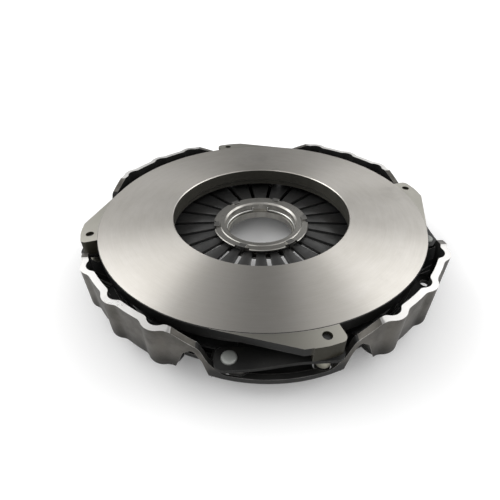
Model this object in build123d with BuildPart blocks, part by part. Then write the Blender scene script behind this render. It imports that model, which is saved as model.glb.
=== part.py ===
from build123d import *
import os
from math import cos, radians, sin, tan

# Clutch cover assembly, pull type, for a flat flywheel. Millimetres.
# +Z points at the flywheel, the cover's back face lies on z = 0, and the
# shaft axis is the Z axis. The four drive straps are centred on the X and Y axes.

# ---- heights ----
SHEET = 6.0  # wall of the cover
FACE_Z = 70.0  # friction face
RIM_Z = FACE_Z + 4.0  # machined edge that meets the flywheel
FLANGE_Z = 19.0  # back of the bolt flange
FLOOR_Z = FLANGE_Z + SHEET  # inside of the bolt flange
LIP_Z = FLOOR_Z + 4.5  # low lip of the cover under each drive strap
SPOT_DEPTH = 1.0  # spot face under each bolt head

# ---- radii that the pieces share, each from the rim inwards ----
RIM_OUT_R = 235.0
RIM_WALL = 7.0
RIM_IN_R = RIM_OUT_R - RIM_WALL
BOLT_R = RIM_OUT_R - 10.0  # flywheel bolts, strap rivets and strap bolts
STEP_R = RIM_OUT_R - 21.0  # inner edge of the bolt flange
SEAT_OUT_R = STEP_R - 3.5
PIVOT_R = SEAT_OUT_R - 10.5  # where the spring tilts on the cover
FULCRUM_R = PIVOT_R - 28.0  # where the spring pushes the plate
TIP_R = 60.0  # inner end of the spring fingers

# ---- flywheel bolts, three to a quarter ----
BOLT_HOLE_R = 5.5
BOLT_TURNS = [30.0, 45.0, 60.0]
SPOT_R = 10.5
QUARTERS = [0.0, 90.0, 180.0, 270.0]
QUARTER_NAMES = ["right", "rear", "left", "front"]

# ---- cover rim ----
LOBE_R = BOLT_R - 4.0  # centre of each outward lobe of the rim
LOBE_OUT = 19.0
LOBE_IN = 12.5
BLEND_OUT = 14.0
BLEND_IN = 7.0
LIP_OUT_R = RIM_OUT_R + 3.0
LIP_IN_R = LIP_OUT_R - 6.5
BOW_R = LIP_OUT_R - 58.0  # flat bow of the lip between two rim segments
FOOT_ROUND = 5.0
WINDOW_LOW = 0.221 * RIM_OUT_R  # half widths of a window, from the lip upwards
WINDOW_KNEE = 0.277 * RIM_OUT_R
WINDOW_MID = 0.309 * RIM_OUT_R
WINDOW_TOP = 0.428 * RIM_OUT_R
WINDOW_KNEE_Z = LIP_Z + 13.0
WINDOW_MID_Z = FACE_Z - 9.0
WINDOW_ROUND = 9.0
RAMP_WALL = 6.0  # wall left between a window and the notch under its ramp
NOTCH_END = LOBE_R * sin(radians(BOLT_TURNS[0])) - LOBE_OUT / 2
NOTCH_ROUND = 4.0

# ---- cover step and dome ----
SEAT_Z = 15.2
SEAT_IN_R = PIVOT_R - 9.0
DOME_R = SEAT_IN_R - 5.0
DOME_IN_R = DOME_R - 61.0
VENT_R = DOME_R - 30.0
VENT_HOLE_R = 8.0
PAD_R = BOLT_R - 3.5
PAD_WIDE = 26.0
PAD_LONG = 38.0
PAD_CORNER = 8.0
PAD_SLOPE = 3.0

# ---- diaphragm spring ----
FINGERS = 24
SPRING_THICK = 5.0
SPRING_OUT_R = PIVOT_R + 5.0
CONE = 0.13  # fall of the free spring for each mm outwards
PIVOT_TOP_Z = SEAT_Z + 9.0  # top of the free spring over its pivot
SLOT_WIDE = 5.8
SLOT_END_R = FULCRUM_R - 24.0
KEYHOLE_R = 6.0
SLOT_TURN = 4.0  # first slot, measured from the X axis

# ---- pivot wire ----
WIRE_R = 2.4
SEAT_GAP = 0.05
GROOVE_GAP = 0.3

# ---- pressure plate ----
PLATE_OUT_R = RIM_IN_R - 12.0
PLATE_IN_R = PLATE_OUT_R - 96.0
PLATE_THICK = 16.0
FULCRUM_TIP_R = 3.0
LUG_STEP = 0.5  # lugs lie this far under the friction face
LUG_THICK = 19.5
LUG_OUT_R = BOLT_R + 10.5
LUG_FIRST_TURN = -17.0
LUG_CORNER_TURN = 5.4
LUG_LAST_TURN = 16.0
STRAP_TURN = 11.7  # strap rivet and strap bolt lie this far either side of an axis

# ---- drive straps ----
LEAF_THICK = 1.4
LEAVES = 3
STRAP_WIDE = 27.0
STRAP_END = 15.0  # strap beyond the rivet
STRAP_LUG_END = 18.4  # strap beyond the bolt
STRAP_FLAT = 15.6  # flat part towards the middle at each end
STRAP_BEND = 30.0
STRAP_HOLE_R = 5.1
STRAP_DROP = 8.0  # the riveted end lies this much lower while the plate is free
STRAP_CORNER = 10.0

# ---- strap rivets and bolts ----
RIVET_R = 5.0
RIVET_HEAD_R = 8.0
RIVET_HEAD = 3.5
RIVET_WALL = 7.2
PAD_HOLE_R = 5.1
SHANK_R = 4.85
LUG_HOLE_R = 5.0
SLEEVE_R = 8.0
SLEEVE_NECK_R = 6.6
SLEEVE_NECK = 6.5
SLEEVE_LONG = 17.0
SLEEVE_BORE_R = 5.1
HEAD_LONG = 10.0
HEX_ACROSS = 8.0
HEX_DEEP = 5.0
CLEAR_R = 10.0  # opening of the cover round each strap bolt

# ---- release ring ----
RING_OVER_TIP = 7.6  # height of the ring's top over the finger tips
RING_LOBES = 6
LOBE_EDGE_R = 66.5
LOBE_THICK = 3.0
COLLAR_R = 58.0
RING_BODY_R = 63.5
HUB_R = 55.5
HUB_LONG = 24.0
RING_BORE_R = 45.0
SNAP_DEEP = 13.8  # lower side of the snap ring groove, under the ring's top
SNAP_WIDE = 4.0
SNAP_GROOVE_R = 50.3
MOUTH_R = 49.0
SNAP_WIRE_R = 1.6
SNAP_R = 48.6
SNAP_GAP_TURN = 87.0
SNAP_GAP = 25.0
GAP_HALF = 9.0  # half of the gap between two lobes, degrees

# ---- finger retainer ----
RETAINER_THICK = 2.5
RETAINER_OUT_R = 66.0
RETAINER_IN_R = 56.2
HOOK_WIDE = 4.8
HOOK_THICK = 1.9
HOOK_LIP = 5.4
HOOK_HEAD_WIDE = 10.5

# ---- ring pin ----
PIN_R = 1.4
PIN_TURN = 288.0

# ---- derived ----
LUG_TOP_Z = FACE_Z - LUG_STEP
LUG_BACK_Z = LUG_TOP_Z - LUG_THICK
STACK = LEAVES * LEAF_THICK
STRAP_LUG_Z = LUG_BACK_Z - STACK
PAD_Z = STRAP_LUG_Z - STRAP_DROP
STRAP_X = BOLT_R * cos(radians(STRAP_TURN))
STRAP_Y = BOLT_R * sin(radians(STRAP_TURN))
RIVET_BACK_Z = PAD_Z - RIVET_WALL
TIP_TOP_Z = PIVOT_TOP_Z + CONE * (PIVOT_R - TIP_R)
RING_TOP_Z = TIP_TOP_Z + RING_OVER_TIP
HUB_Z = RING_TOP_Z - HUB_LONG
SNAP_Z = RING_TOP_Z - SNAP_DEEP
BODY_TOP_Z = RING_TOP_Z - 1.0
LOBE_BACK_Z = BODY_TOP_Z - LOBE_THICK
SLEEVE_Z = STRAP_LUG_Z - SLEEVE_LONG
HEAD_Z = SLEEVE_Z - HEAD_LONG


def spring_top(radius):
    """Height of the free spring's top face at a radius."""
    return TIP_TOP_Z - CONE * (radius - TIP_R)


def around(radius, turn):
    """Point of the XY plane at a radius and an angle in degrees."""
    return (radius * cos(radians(turn)), radius * sin(radians(turn)))


def rings(radius, turns):
    """The same point in every quarter, for each of the angles given."""
    return [around(radius, q + t) for q in QUARTERS for t in turns]


def side_plane(turn, distance=0.0):
    """Upright plane across the line at an angle; its x runs counter-clockwise."""
    out = Vector(*around(1.0, turn), 0)
    return Plane(origin=out * distance, x_dir=Vector(0, 0, 1).cross(out), z_dir=out)


def save(piece, name):
    """Label a piece and write it under its own name."""
    piece.label = name
    export_step(piece, "parts/" + name + ".step")


PIVOT_Z = spring_top(PIVOT_R) - SPRING_THICK - SEAT_GAP - WIRE_R
RETAINER_TOP_Z = spring_top(RETAINER_OUT_R) - SPRING_THICK - SEAT_GAP

os.makedirs("parts", exist_ok=True)


# ================= cover =================
def ramp_notch(turn, side):
    """Open space under the ramp at one end of a window, up to the nearest lobe."""
    with BuildPart() as notch:
        with BuildSketch(side_plane(turn, SEAT_IN_R)) as arch:
            Polygon(
                (side * WINDOW_KNEE, FLANGE_Z - 1),
                (side * (WINDOW_KNEE + RAMP_WALL), WINDOW_KNEE_Z),
                (side * (WINDOW_MID + RAMP_WALL), WINDOW_MID_Z - RAMP_WALL / 2),
                (side * (NOTCH_END - 2 * RAMP_WALL), WINDOW_MID_Z - 2 * RAMP_WALL),
                (side * NOTCH_END, FLANGE_Z - 1),
                align=None,
            )
            fillet(arch.vertices().filter_by_position(Axis.Y, FLANGE_Z, FACE_Z), NOTCH_ROUND)
        extrude(amount=LIP_OUT_R - SEAT_IN_R)
        with BuildSketch(Plane.XY):
            Circle(STEP_R + 1)
            with Locations(around(LOBE_R, turn + side * BOLT_TURNS[0])):
                Circle(LOBE_OUT)
        extrude(amount=FACE_Z, mode=Mode.SUBTRACT)
    return notch.part


def strap_pad(turn):
    """Raised seat of the cover under the riveted end of a drive strap."""
    along = Vector(*around(1.0, turn - STRAP_TURN), 0)
    base_z = FLANGE_Z + FOOT_ROUND
    with BuildPart() as pad:
        with BuildSketch(Plane(origin=(0, 0, base_z), x_dir=along, z_dir=(0, 0, 1))):
            with Locations((PAD_R, 0)):
                RectangleRounded(PAD_WIDE, PAD_LONG, PAD_CORNER)
        extrude(amount=PAD_Z - base_z)
        chamfer(pad.faces().sort_by(Axis.Z)[-1].edges(), PAD_SLOPE)
    return pad.part


with BuildPart() as cover:
    # bolt flange and rim, with an outward lobe beside every flywheel bolt
    with BuildSketch(Plane.XY.offset(FLANGE_Z)) as rim_outside:
        Circle(RIM_OUT_R)
        with Locations(rings(LOBE_R, BOLT_TURNS)):
            Circle(LOBE_OUT)
        fillet(rim_outside.vertices(), BLEND_OUT)
        with Locations(rings(LIP_OUT_R - BOW_R, [0])):
            Circle(BOW_R)
    extrude(amount=RIM_Z - FLANGE_Z)
    fillet(cover.edges().group_by(Axis.Z)[0], FOOT_ROUND)
    with BuildSketch(Plane.XY.offset(FLOOR_Z)) as rim_inside:
        Circle(RIM_IN_R)
        with Locations(rings(LOBE_R, BOLT_TURNS)):
            Circle(LOBE_IN)
        fillet(rim_inside.vertices(), BLEND_IN)
        with Locations(rings(LIP_IN_R - BOW_R, [0])):
            Circle(BOW_R)
    extrude(amount=RIM_Z, mode=Mode.SUBTRACT)
    with BuildSketch(Plane.XY):
        Circle(STEP_R - 2)
    extrude(amount=RIM_Z, mode=Mode.SUBTRACT)
    # windows between the rim segments, open upwards
    for quarter in QUARTERS:
        with BuildSketch(side_plane(quarter, PIVOT_R)) as window:
            Polygon(
                (-WINDOW_LOW, LIP_Z),
                (WINDOW_LOW, LIP_Z),
                (WINDOW_KNEE, WINDOW_KNEE_Z),
                (WINDOW_MID, WINDOW_MID_Z),
                (WINDOW_TOP, RIM_Z + 1),
                (-WINDOW_TOP, RIM_Z + 1),
                (-WINDOW_MID, WINDOW_MID_Z),
                (-WINDOW_KNEE, WINDOW_KNEE_Z),
                align=None,
            )
            fillet(window.vertices().filter_by_position(Axis.Y, 0, FACE_Z), WINDOW_ROUND)
        extrude(amount=LIP_OUT_R - PIVOT_R, mode=Mode.SUBTRACT)
        add(ramp_notch(quarter, 1), mode=Mode.SUBTRACT)
        add(ramp_notch(quarter, -1), mode=Mode.SUBTRACT)
    # spring seat, step and dome
    with BuildSketch(Plane.XZ) as section:
        Polygon(
            (DOME_IN_R, 0),
            (DOME_R - 4.5, 0),
            (DOME_R + 0.5, SEAT_Z - SHEET),
            (SEAT_OUT_R - 6.5, SEAT_Z - SHEET),
            (STEP_R - 6, FLANGE_Z),
            (STEP_R + 4, FLANGE_Z),
            (STEP_R + 4, FLOOR_Z),
            (STEP_R, FLOOR_Z),
            (SEAT_OUT_R, SEAT_Z),
            (SEAT_IN_R, SEAT_Z),
            (DOME_R, SHEET),
            (DOME_IN_R, SHEET),
            align=None,
        )
        fillet(section.vertices().filter_by_position(Axis.Y, -0.1, 0.1), 1.5)
        fillet(section.vertices().filter_by_position(Axis.Y, SHEET - 0.1, SHEET + 0.1), 1.5)
    revolve(axis=Axis.Z)
    # groove of the pivot wire
    with BuildSketch(Plane.XZ):
        with Locations((PIVOT_R, PIVOT_Z)):
            Circle(WIRE_R + GROOVE_GAP)
    revolve(axis=Axis.Z, mode=Mode.SUBTRACT)
    # raised pads that carry the strap rivets
    for quarter in QUARTERS:
        add(strap_pad(quarter))
    # flywheel bolt holes with spot faces
    with BuildSketch(Plane.XY):
        with Locations(rings(BOLT_R, BOLT_TURNS)):
            Circle(BOLT_HOLE_R)
    extrude(amount=FLOOR_Z + 1, mode=Mode.SUBTRACT)
    with BuildSketch(Plane.XY):
        with Locations(rings(BOLT_R, BOLT_TURNS)):
            Circle(SPOT_R)
    extrude(amount=FLANGE_Z + SPOT_DEPTH, mode=Mode.SUBTRACT)
    # rivet holes, rivet pockets behind the pads, openings round the strap bolts
    with BuildSketch(Plane.XY):
        with Locations(rings(BOLT_R, [-STRAP_TURN])):
            Circle(PAD_HOLE_R)
    extrude(amount=FACE_Z, mode=Mode.SUBTRACT)
    with BuildSketch(Plane.XY):
        with Locations(rings(BOLT_R, [-STRAP_TURN])):
            Circle(RIVET_HEAD_R + 1.6)
    extrude(amount=RIVET_BACK_Z, mode=Mode.SUBTRACT)
    with BuildSketch(Plane.XY):
        with Locations(rings(BOLT_R, [STRAP_TURN])):
            Circle(CLEAR_R)
    extrude(amount=FACE_Z, mode=Mode.SUBTRACT)
    # air holes of the dome
    with BuildSketch(Plane.XY):
        with PolarLocations(VENT_R, 12, start_angle=15):
            Circle(VENT_HOLE_R)
    extrude(amount=SHEET, mode=Mode.SUBTRACT)
save(cover.part, "cover")

# ================= pressure plate =================
FULCRUM_Z = spring_top(FULCRUM_R) + FULCRUM_TIP_R * 1.033
PLATE_BACK_Z = FACE_Z - PLATE_THICK
with BuildPart() as pressure_plate:
    with BuildSketch(Plane.XZ) as section:
        with BuildLine():
            Polyline(
                (PLATE_IN_R, FACE_Z - 1),
                (PLATE_IN_R + 1, FACE_Z),
                (PLATE_OUT_R - 0.8, FACE_Z),
                (PLATE_OUT_R, FACE_Z - 0.8),
                (PLATE_OUT_R, PLATE_BACK_Z + 2),
                (PLATE_OUT_R - 2, PLATE_BACK_Z),
                (FULCRUM_R + 14, PLATE_BACK_Z),
                (FULCRUM_R + FULCRUM_TIP_R + 2.5, FULCRUM_Z + 6),
                (FULCRUM_R + FULCRUM_TIP_R, FULCRUM_Z),
            )
            ThreePointArc(
                (FULCRUM_R + FULCRUM_TIP_R, FULCRUM_Z),
                (FULCRUM_R, FULCRUM_Z - FULCRUM_TIP_R),
                (FULCRUM_R - FULCRUM_TIP_R, FULCRUM_Z),
            )
            Polyline(
                (FULCRUM_R - FULCRUM_TIP_R, FULCRUM_Z),
                (FULCRUM_R - FULCRUM_TIP_R - 2.5, FULCRUM_Z + 6),
                (FULCRUM_R - 14, PLATE_BACK_Z),
                (PLATE_IN_R + 14, PLATE_BACK_Z),
                (PLATE_IN_R + 11, FACE_Z - 26),
                (PLATE_IN_R + 3, FACE_Z - 26),
                (PLATE_IN_R + 3, FACE_Z - 20),
                (PLATE_IN_R, FACE_Z - 17),
                (PLATE_IN_R, FACE_Z - 1),
            )
        make_face()
    revolve(axis=Axis.Z)
    # four lugs: thin wing along the tangent, full thickness round the bolt
    for quarter in QUARTERS:
        wing = [
            around(PLATE_OUT_R - 14, quarter + LUG_FIRST_TURN),
            around(PLATE_OUT_R, quarter + LUG_FIRST_TURN),
            around(LUG_OUT_R, quarter + LUG_CORNER_TURN),
            around(LUG_OUT_R + 1, quarter + LUG_LAST_TURN - 5),
            around(LUG_OUT_R, quarter + LUG_LAST_TURN),
            around(PLATE_OUT_R - 14, quarter + LUG_LAST_TURN),
        ]
        with BuildSketch(Plane.XY.offset(LUG_TOP_Z - LUG_THICK / 2)) as lug:
            Polygon(*wing, align=None)
            fillet(lug.vertices().sort_by_distance(wing[4])[0], 7)
            fillet(lug.vertices().sort_by_distance(wing[2])[0], 2)
        extrude(amount=LUG_THICK / 2)
        block = [
            around(PLATE_OUT_R - 8, quarter + LUG_CORNER_TURN + 2.2),
            around(LUG_OUT_R + 0.6, quarter + LUG_CORNER_TURN + 2.2),
            around(LUG_OUT_R + 1, quarter + LUG_LAST_TURN - 5),
            around(LUG_OUT_R, quarter + LUG_LAST_TURN),
            around(PLATE_OUT_R - 8, quarter + LUG_LAST_TURN),
        ]
        with BuildSketch(Plane.XY.offset(LUG_BACK_Z)) as lug:
            Polygon(*block, align=None)
            fillet(lug.vertices().sort_by_distance(block[3])[0], 7)
        extrude(amount=LUG_THICK)
    with BuildSketch(Plane.XY.offset(LUG_BACK_Z - 1)):
        with Locations(rings(BOLT_R, [STRAP_TURN])):
            Circle(LUG_HOLE_R)
    extrude(amount=LUG_THICK + 2, mode=Mode.SUBTRACT)
    # air gaps through the fulcrum ridge
    with BuildSketch(Plane.XY.offset(PLATE_BACK_Z)):
        with PolarLocations(FULCRUM_R, 12, start_angle=15):
            Rectangle(34, 13)
    extrude(amount=-30, mode=Mode.SUBTRACT)
save(pressure_plate.part, "pressure_plate")

# ================= diaphragm spring =================
with BuildPart() as diaphragm_spring:
    with BuildSketch(Plane.XZ) as section:
        Polygon(
            (TIP_R, spring_top(TIP_R)),
            (SPRING_OUT_R, spring_top(SPRING_OUT_R)),
            (SPRING_OUT_R, spring_top(SPRING_OUT_R) - SPRING_THICK),
            (TIP_R, spring_top(TIP_R) - SPRING_THICK),
            align=None,
        )
        fillet(section.vertices().group_by(Axis.X)[-1], 1.2)
    revolve(axis=Axis.Z)
    with BuildSketch(Plane.XY) as slots:
        with PolarLocations(0, FINGERS, start_angle=SLOT_TURN):
            with Locations(((TIP_R + SLOT_END_R) / 2 - 5, 0)):
                Rectangle(SLOT_END_R - TIP_R + 10, SLOT_WIDE)
        with PolarLocations(SLOT_END_R, FINGERS, start_angle=SLOT_TURN):
            Circle(KEYHOLE_R)
    extrude(amount=FACE_Z, mode=Mode.SUBTRACT)
save(diaphragm_spring.part, "diaphragm_spring")

# ================= pivot wire =================
with BuildPart() as pivot_wire:
    with BuildSketch(Plane.XZ):
        with Locations((PIVOT_R, PIVOT_Z)):
            Circle(WIRE_R)
    revolve(axis=Axis.Z, revolution_arc=358)
save(pivot_wire.part, "pivot_wire")


# ================= drive straps =================
def strap_leaf(turn, layer):
    """One leaf of a drive strap: flat at both ends, bent down to its rivet."""
    low = PAD_Z + layer * LEAF_THICK
    high = STRAP_LUG_Z + layer * LEAF_THICK
    line = [
        (-STRAP_Y - STRAP_END, low),
        (-STRAP_Y + STRAP_FLAT, low),
        (STRAP_Y - STRAP_FLAT, high),
        (STRAP_Y + STRAP_LUG_END, high),
    ]
    top = [(x, z + LEAF_THICK) for x, z in line]
    with BuildPart() as leaf:
        with BuildSketch(side_plane(turn, STRAP_X - STRAP_WIDE / 2)):
            with BuildLine():
                FilletPolyline(*line, radius=STRAP_BEND)
                FilletPolyline(*top, radius=STRAP_BEND)
                Line(line[0], top[0])
                Line(line[-1], top[-1])
            make_face()
        extrude(amount=STRAP_WIDE)
        fillet(leaf.edges().filter_by(Axis.Z), STRAP_CORNER)
        with BuildSketch(Plane.XY):
            with Locations(around(BOLT_R, turn - STRAP_TURN), around(BOLT_R, turn + STRAP_TURN)):
                Circle(STRAP_HOLE_R)
        extrude(amount=FACE_Z, mode=Mode.SUBTRACT)
    return leaf.part


for quarter, place in zip(QUARTERS, QUARTER_NAMES):
    for layer in range(LEAVES):
        save(strap_leaf(quarter, layer), f"strap_{place}_leaf_{layer + 1}")

# ================= strap rivets =================
with BuildPart() as strap_rivets:
    with BuildSketch(Plane.XY.offset(RIVET_BACK_Z - RIVET_HEAD)):
        with Locations(rings(BOLT_R, [-STRAP_TURN])):
            Circle(RIVET_HEAD_R)
    extrude(amount=RIVET_HEAD)
    with BuildSketch(Plane.XY.offset(RIVET_BACK_Z)):
        with Locations(rings(BOLT_R, [-STRAP_TURN])):
            Circle(RIVET_R)
    extrude(amount=PAD_Z + STACK - RIVET_BACK_Z)
    with BuildSketch(Plane.XY.offset(PAD_Z + STACK)):
        with Locations(rings(BOLT_R, [-STRAP_TURN])):
            Circle(RIVET_HEAD_R)
    extrude(amount=RIVET_HEAD)
    fillet(strap_rivets.edges().group_by(Axis.Z)[-1], 2.4)
    fillet(strap_rivets.edges().group_by(Axis.Z)[0], 1.6)
save(strap_rivets.part, "strap_rivets")

# ================= strap sleeves =================
with BuildPart() as strap_sleeves:
    with BuildSketch(Plane.XY.offset(SLEEVE_Z)):
        with Locations(rings(BOLT_R, [STRAP_TURN])):
            Circle(SLEEVE_R)
    extrude(amount=SLEEVE_LONG - SLEEVE_NECK)
    chamfer(strap_sleeves.edges().group_by(Axis.Z)[-1], 0.6)
    with BuildSketch(Plane.XY.offset(SLEEVE_Z)):
        with Locations(rings(BOLT_R, [STRAP_TURN])):
            Circle(SLEEVE_NECK_R)
    extrude(amount=SLEEVE_LONG)
    with BuildSketch(Plane.XY.offset(SLEEVE_Z)):
        with Locations(rings(BOLT_R, [STRAP_TURN])):
            Circle(SLEEVE_BORE_R)
    extrude(amount=SLEEVE_LONG, mode=Mode.SUBTRACT)
save(strap_sleeves.part, "strap_sleeves")

# ================= strap bolts =================
with BuildPart() as strap_bolts:
    with BuildSketch(Plane.XY.offset(HEAD_Z)):
        with Locations(rings(BOLT_R, [STRAP_TURN])):
            Circle(SLEEVE_R)
    extrude(amount=HEAD_LONG)
    chamfer(strap_bolts.edges().group_by(Axis.Z)[0], 0.8)
    with BuildSketch(Plane.XY.offset(SLEEVE_Z)):
        with Locations(rings(BOLT_R, [STRAP_TURN])):
            Circle(SHANK_R)
    extrude(amount=LUG_TOP_Z - 3.5 - SLEEVE_Z)
    with BuildSketch(Plane.XY.offset(HEAD_Z)):
        with Locations(rings(BOLT_R, [STRAP_TURN])):
            RegularPolygon(HEX_ACROSS / 2, 6, major_radius=False)
    extrude(amount=HEX_DEEP, mode=Mode.SUBTRACT)
save(strap_bolts.part, "strap_bolts")

# ================= release ring =================
with BuildPart() as release_ring:
    with BuildSketch(Plane.XZ) as section:
        Polygon(
            (RING_BORE_R + 1, HUB_Z),
            (HUB_R - 1.5, HUB_Z),
            (HUB_R, HUB_Z + 1.5),
            (HUB_R, TIP_TOP_Z + SEAT_GAP),
            (RING_BODY_R - 1.5, TIP_TOP_Z + SEAT_GAP),
            (RING_BODY_R, TIP_TOP_Z + SEAT_GAP + 1.5),
            (RING_BODY_R, LOBE_BACK_Z),
            (LOBE_EDGE_R - 0.6, LOBE_BACK_Z),
            (LOBE_EDGE_R, LOBE_BACK_Z + 0.6),
            (LOBE_EDGE_R, BODY_TOP_Z - 0.8),
            (LOBE_EDGE_R - 0.8, BODY_TOP_Z),
            (COLLAR_R, BODY_TOP_Z),
            (COLLAR_R - 1, RING_TOP_Z),
            (MOUTH_R + 2.2, RING_TOP_Z),
            (MOUTH_R, RING_TOP_Z - 2.2),
            (MOUTH_R, SNAP_Z + SNAP_WIDE),
            (SNAP_GROOVE_R, SNAP_Z + SNAP_WIDE),
            (SNAP_GROOVE_R, SNAP_Z),
            (RING_BORE_R, SNAP_Z),
            (RING_BORE_R, HUB_Z + 1),
            align=None,
        )
    revolve(axis=Axis.Z)
    # gaps between the lobes, one over every fourth slot of the spring
    with BuildSketch(Plane.XY.offset(LOBE_BACK_Z - 0.5)):
        with PolarLocations(0, RING_LOBES, start_angle=SLOT_TURN):
            Polygon(
                (0, 0),
                around(LOBE_EDGE_R + 8, -GAP_HALF),
                around(LOBE_EDGE_R + 8, GAP_HALF),
                align=None,
            )
        Circle(RING_BODY_R, mode=Mode.SUBTRACT)
    extrude(amount=LOBE_THICK + 2, mode=Mode.SUBTRACT)
    pin_x, pin_y = around(1.0, PIN_TURN)
    pin_face = side_plane(PIN_TURN, RING_BODY_R - 4)
    with BuildSketch(pin_face):
        with Locations((0, LOBE_BACK_Z - 1.7)):
            Circle(PIN_R + SEAT_GAP)
    extrude(amount=8, mode=Mode.SUBTRACT)
save(release_ring.part, "release_ring")

with BuildPart() as ring_pin:
    with BuildSketch(side_plane(PIN_TURN, RING_BODY_R - 4)):
        with Locations((0, LOBE_BACK_Z - 1.7)):
            Circle(PIN_R)
    extrude(amount=6)
save(ring_pin.part, "ring_pin")

# ================= snap ring =================
with BuildPart() as snap_ring:
    first = SNAP_GAP_TURN + SNAP_GAP / 2
    wire_z = SNAP_Z + SNAP_WIDE / 2
    out = Vector(*around(1.0, first), 0)
    with BuildSketch(Plane(origin=(0, 0, 0), x_dir=out, z_dir=out.cross(Vector(0, 0, 1)))):
        with Locations((SNAP_R, wire_z)):
            Circle(SNAP_WIRE_R)
    revolve(axis=Axis.Z, revolution_arc=360 - SNAP_GAP)
    # upturned ends
    with BuildSketch(Plane.XY.offset(wire_z)):
        with Locations(around(SNAP_R - 1.2, first + 1.5), around(SNAP_R - 1.2, first - SNAP_GAP - 1.5)):
            Circle(SNAP_WIRE_R - 0.3)
    extrude(amount=6)
save(snap_ring.part, "snap_ring")

# ================= finger retainer =================
HOOK_IN_R = RING_BODY_R + 0.3
with BuildPart() as finger_retainer:
    with BuildSketch(Plane.XY.offset(RETAINER_TOP_Z - RETAINER_THICK)):
        Circle(RETAINER_OUT_R)
        Circle(RETAINER_IN_R, mode=Mode.SUBTRACT)
    extrude(amount=RETAINER_THICK)
    # hooks that reach up through the slots and over the ring
    for number in range(RING_LOBES):
        turn = SLOT_TURN + number * 360 / RING_LOBES
        with BuildSketch(side_plane(turn, HOOK_IN_R)):
            with Locations((0, (RETAINER_TOP_Z + BODY_TOP_Z) / 2)):
                Rectangle(HOOK_WIDE, BODY_TOP_Z - RETAINER_TOP_Z + 2)
        extrude(amount=HOOK_THICK)
        with BuildSketch(side_plane(turn, HOOK_IN_R - HOOK_LIP)) as lip:
            with Locations((0, BODY_TOP_Z + SEAT_GAP + HOOK_THICK / 2)):
                Rectangle(HOOK_HEAD_WIDE, HOOK_THICK)
        extrude(amount=HOOK_LIP + HOOK_THICK)
save(finger_retainer.part, "finger_retainer")
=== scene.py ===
import logging
import math
from dataclasses import dataclass, field
from enum import Enum
from typing import Callable, Iterable

import bmesh
import bpy
from mathutils import Matrix, Vector

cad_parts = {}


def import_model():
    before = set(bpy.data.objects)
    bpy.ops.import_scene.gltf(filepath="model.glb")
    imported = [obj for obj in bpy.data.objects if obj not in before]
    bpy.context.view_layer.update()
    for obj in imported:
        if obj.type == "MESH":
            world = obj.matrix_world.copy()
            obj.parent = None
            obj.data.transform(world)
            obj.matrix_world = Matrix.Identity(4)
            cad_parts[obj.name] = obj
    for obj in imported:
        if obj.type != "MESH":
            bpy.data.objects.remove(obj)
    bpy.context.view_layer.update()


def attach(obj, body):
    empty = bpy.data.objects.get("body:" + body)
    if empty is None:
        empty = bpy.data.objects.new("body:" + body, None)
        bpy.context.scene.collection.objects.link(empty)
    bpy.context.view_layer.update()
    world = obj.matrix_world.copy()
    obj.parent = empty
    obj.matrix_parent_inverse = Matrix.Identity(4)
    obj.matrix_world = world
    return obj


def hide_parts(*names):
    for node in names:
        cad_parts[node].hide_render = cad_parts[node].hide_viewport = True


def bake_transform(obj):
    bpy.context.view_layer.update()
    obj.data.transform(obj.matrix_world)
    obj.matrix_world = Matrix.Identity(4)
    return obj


# Looks of a pull type clutch cover assembly: cast cover, ground pressure plate,
# diaphragm spring, leaf straps and release ring. Metres, +Z towards the flywheel.

LOG = logging.getLogger("clutch_cover")
MM = 0.001
Colour = tuple[float, float, float]
Spot = tuple[float, float]
Socket = bpy.types.NodeSocket
Piece = bpy.types.Object


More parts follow.
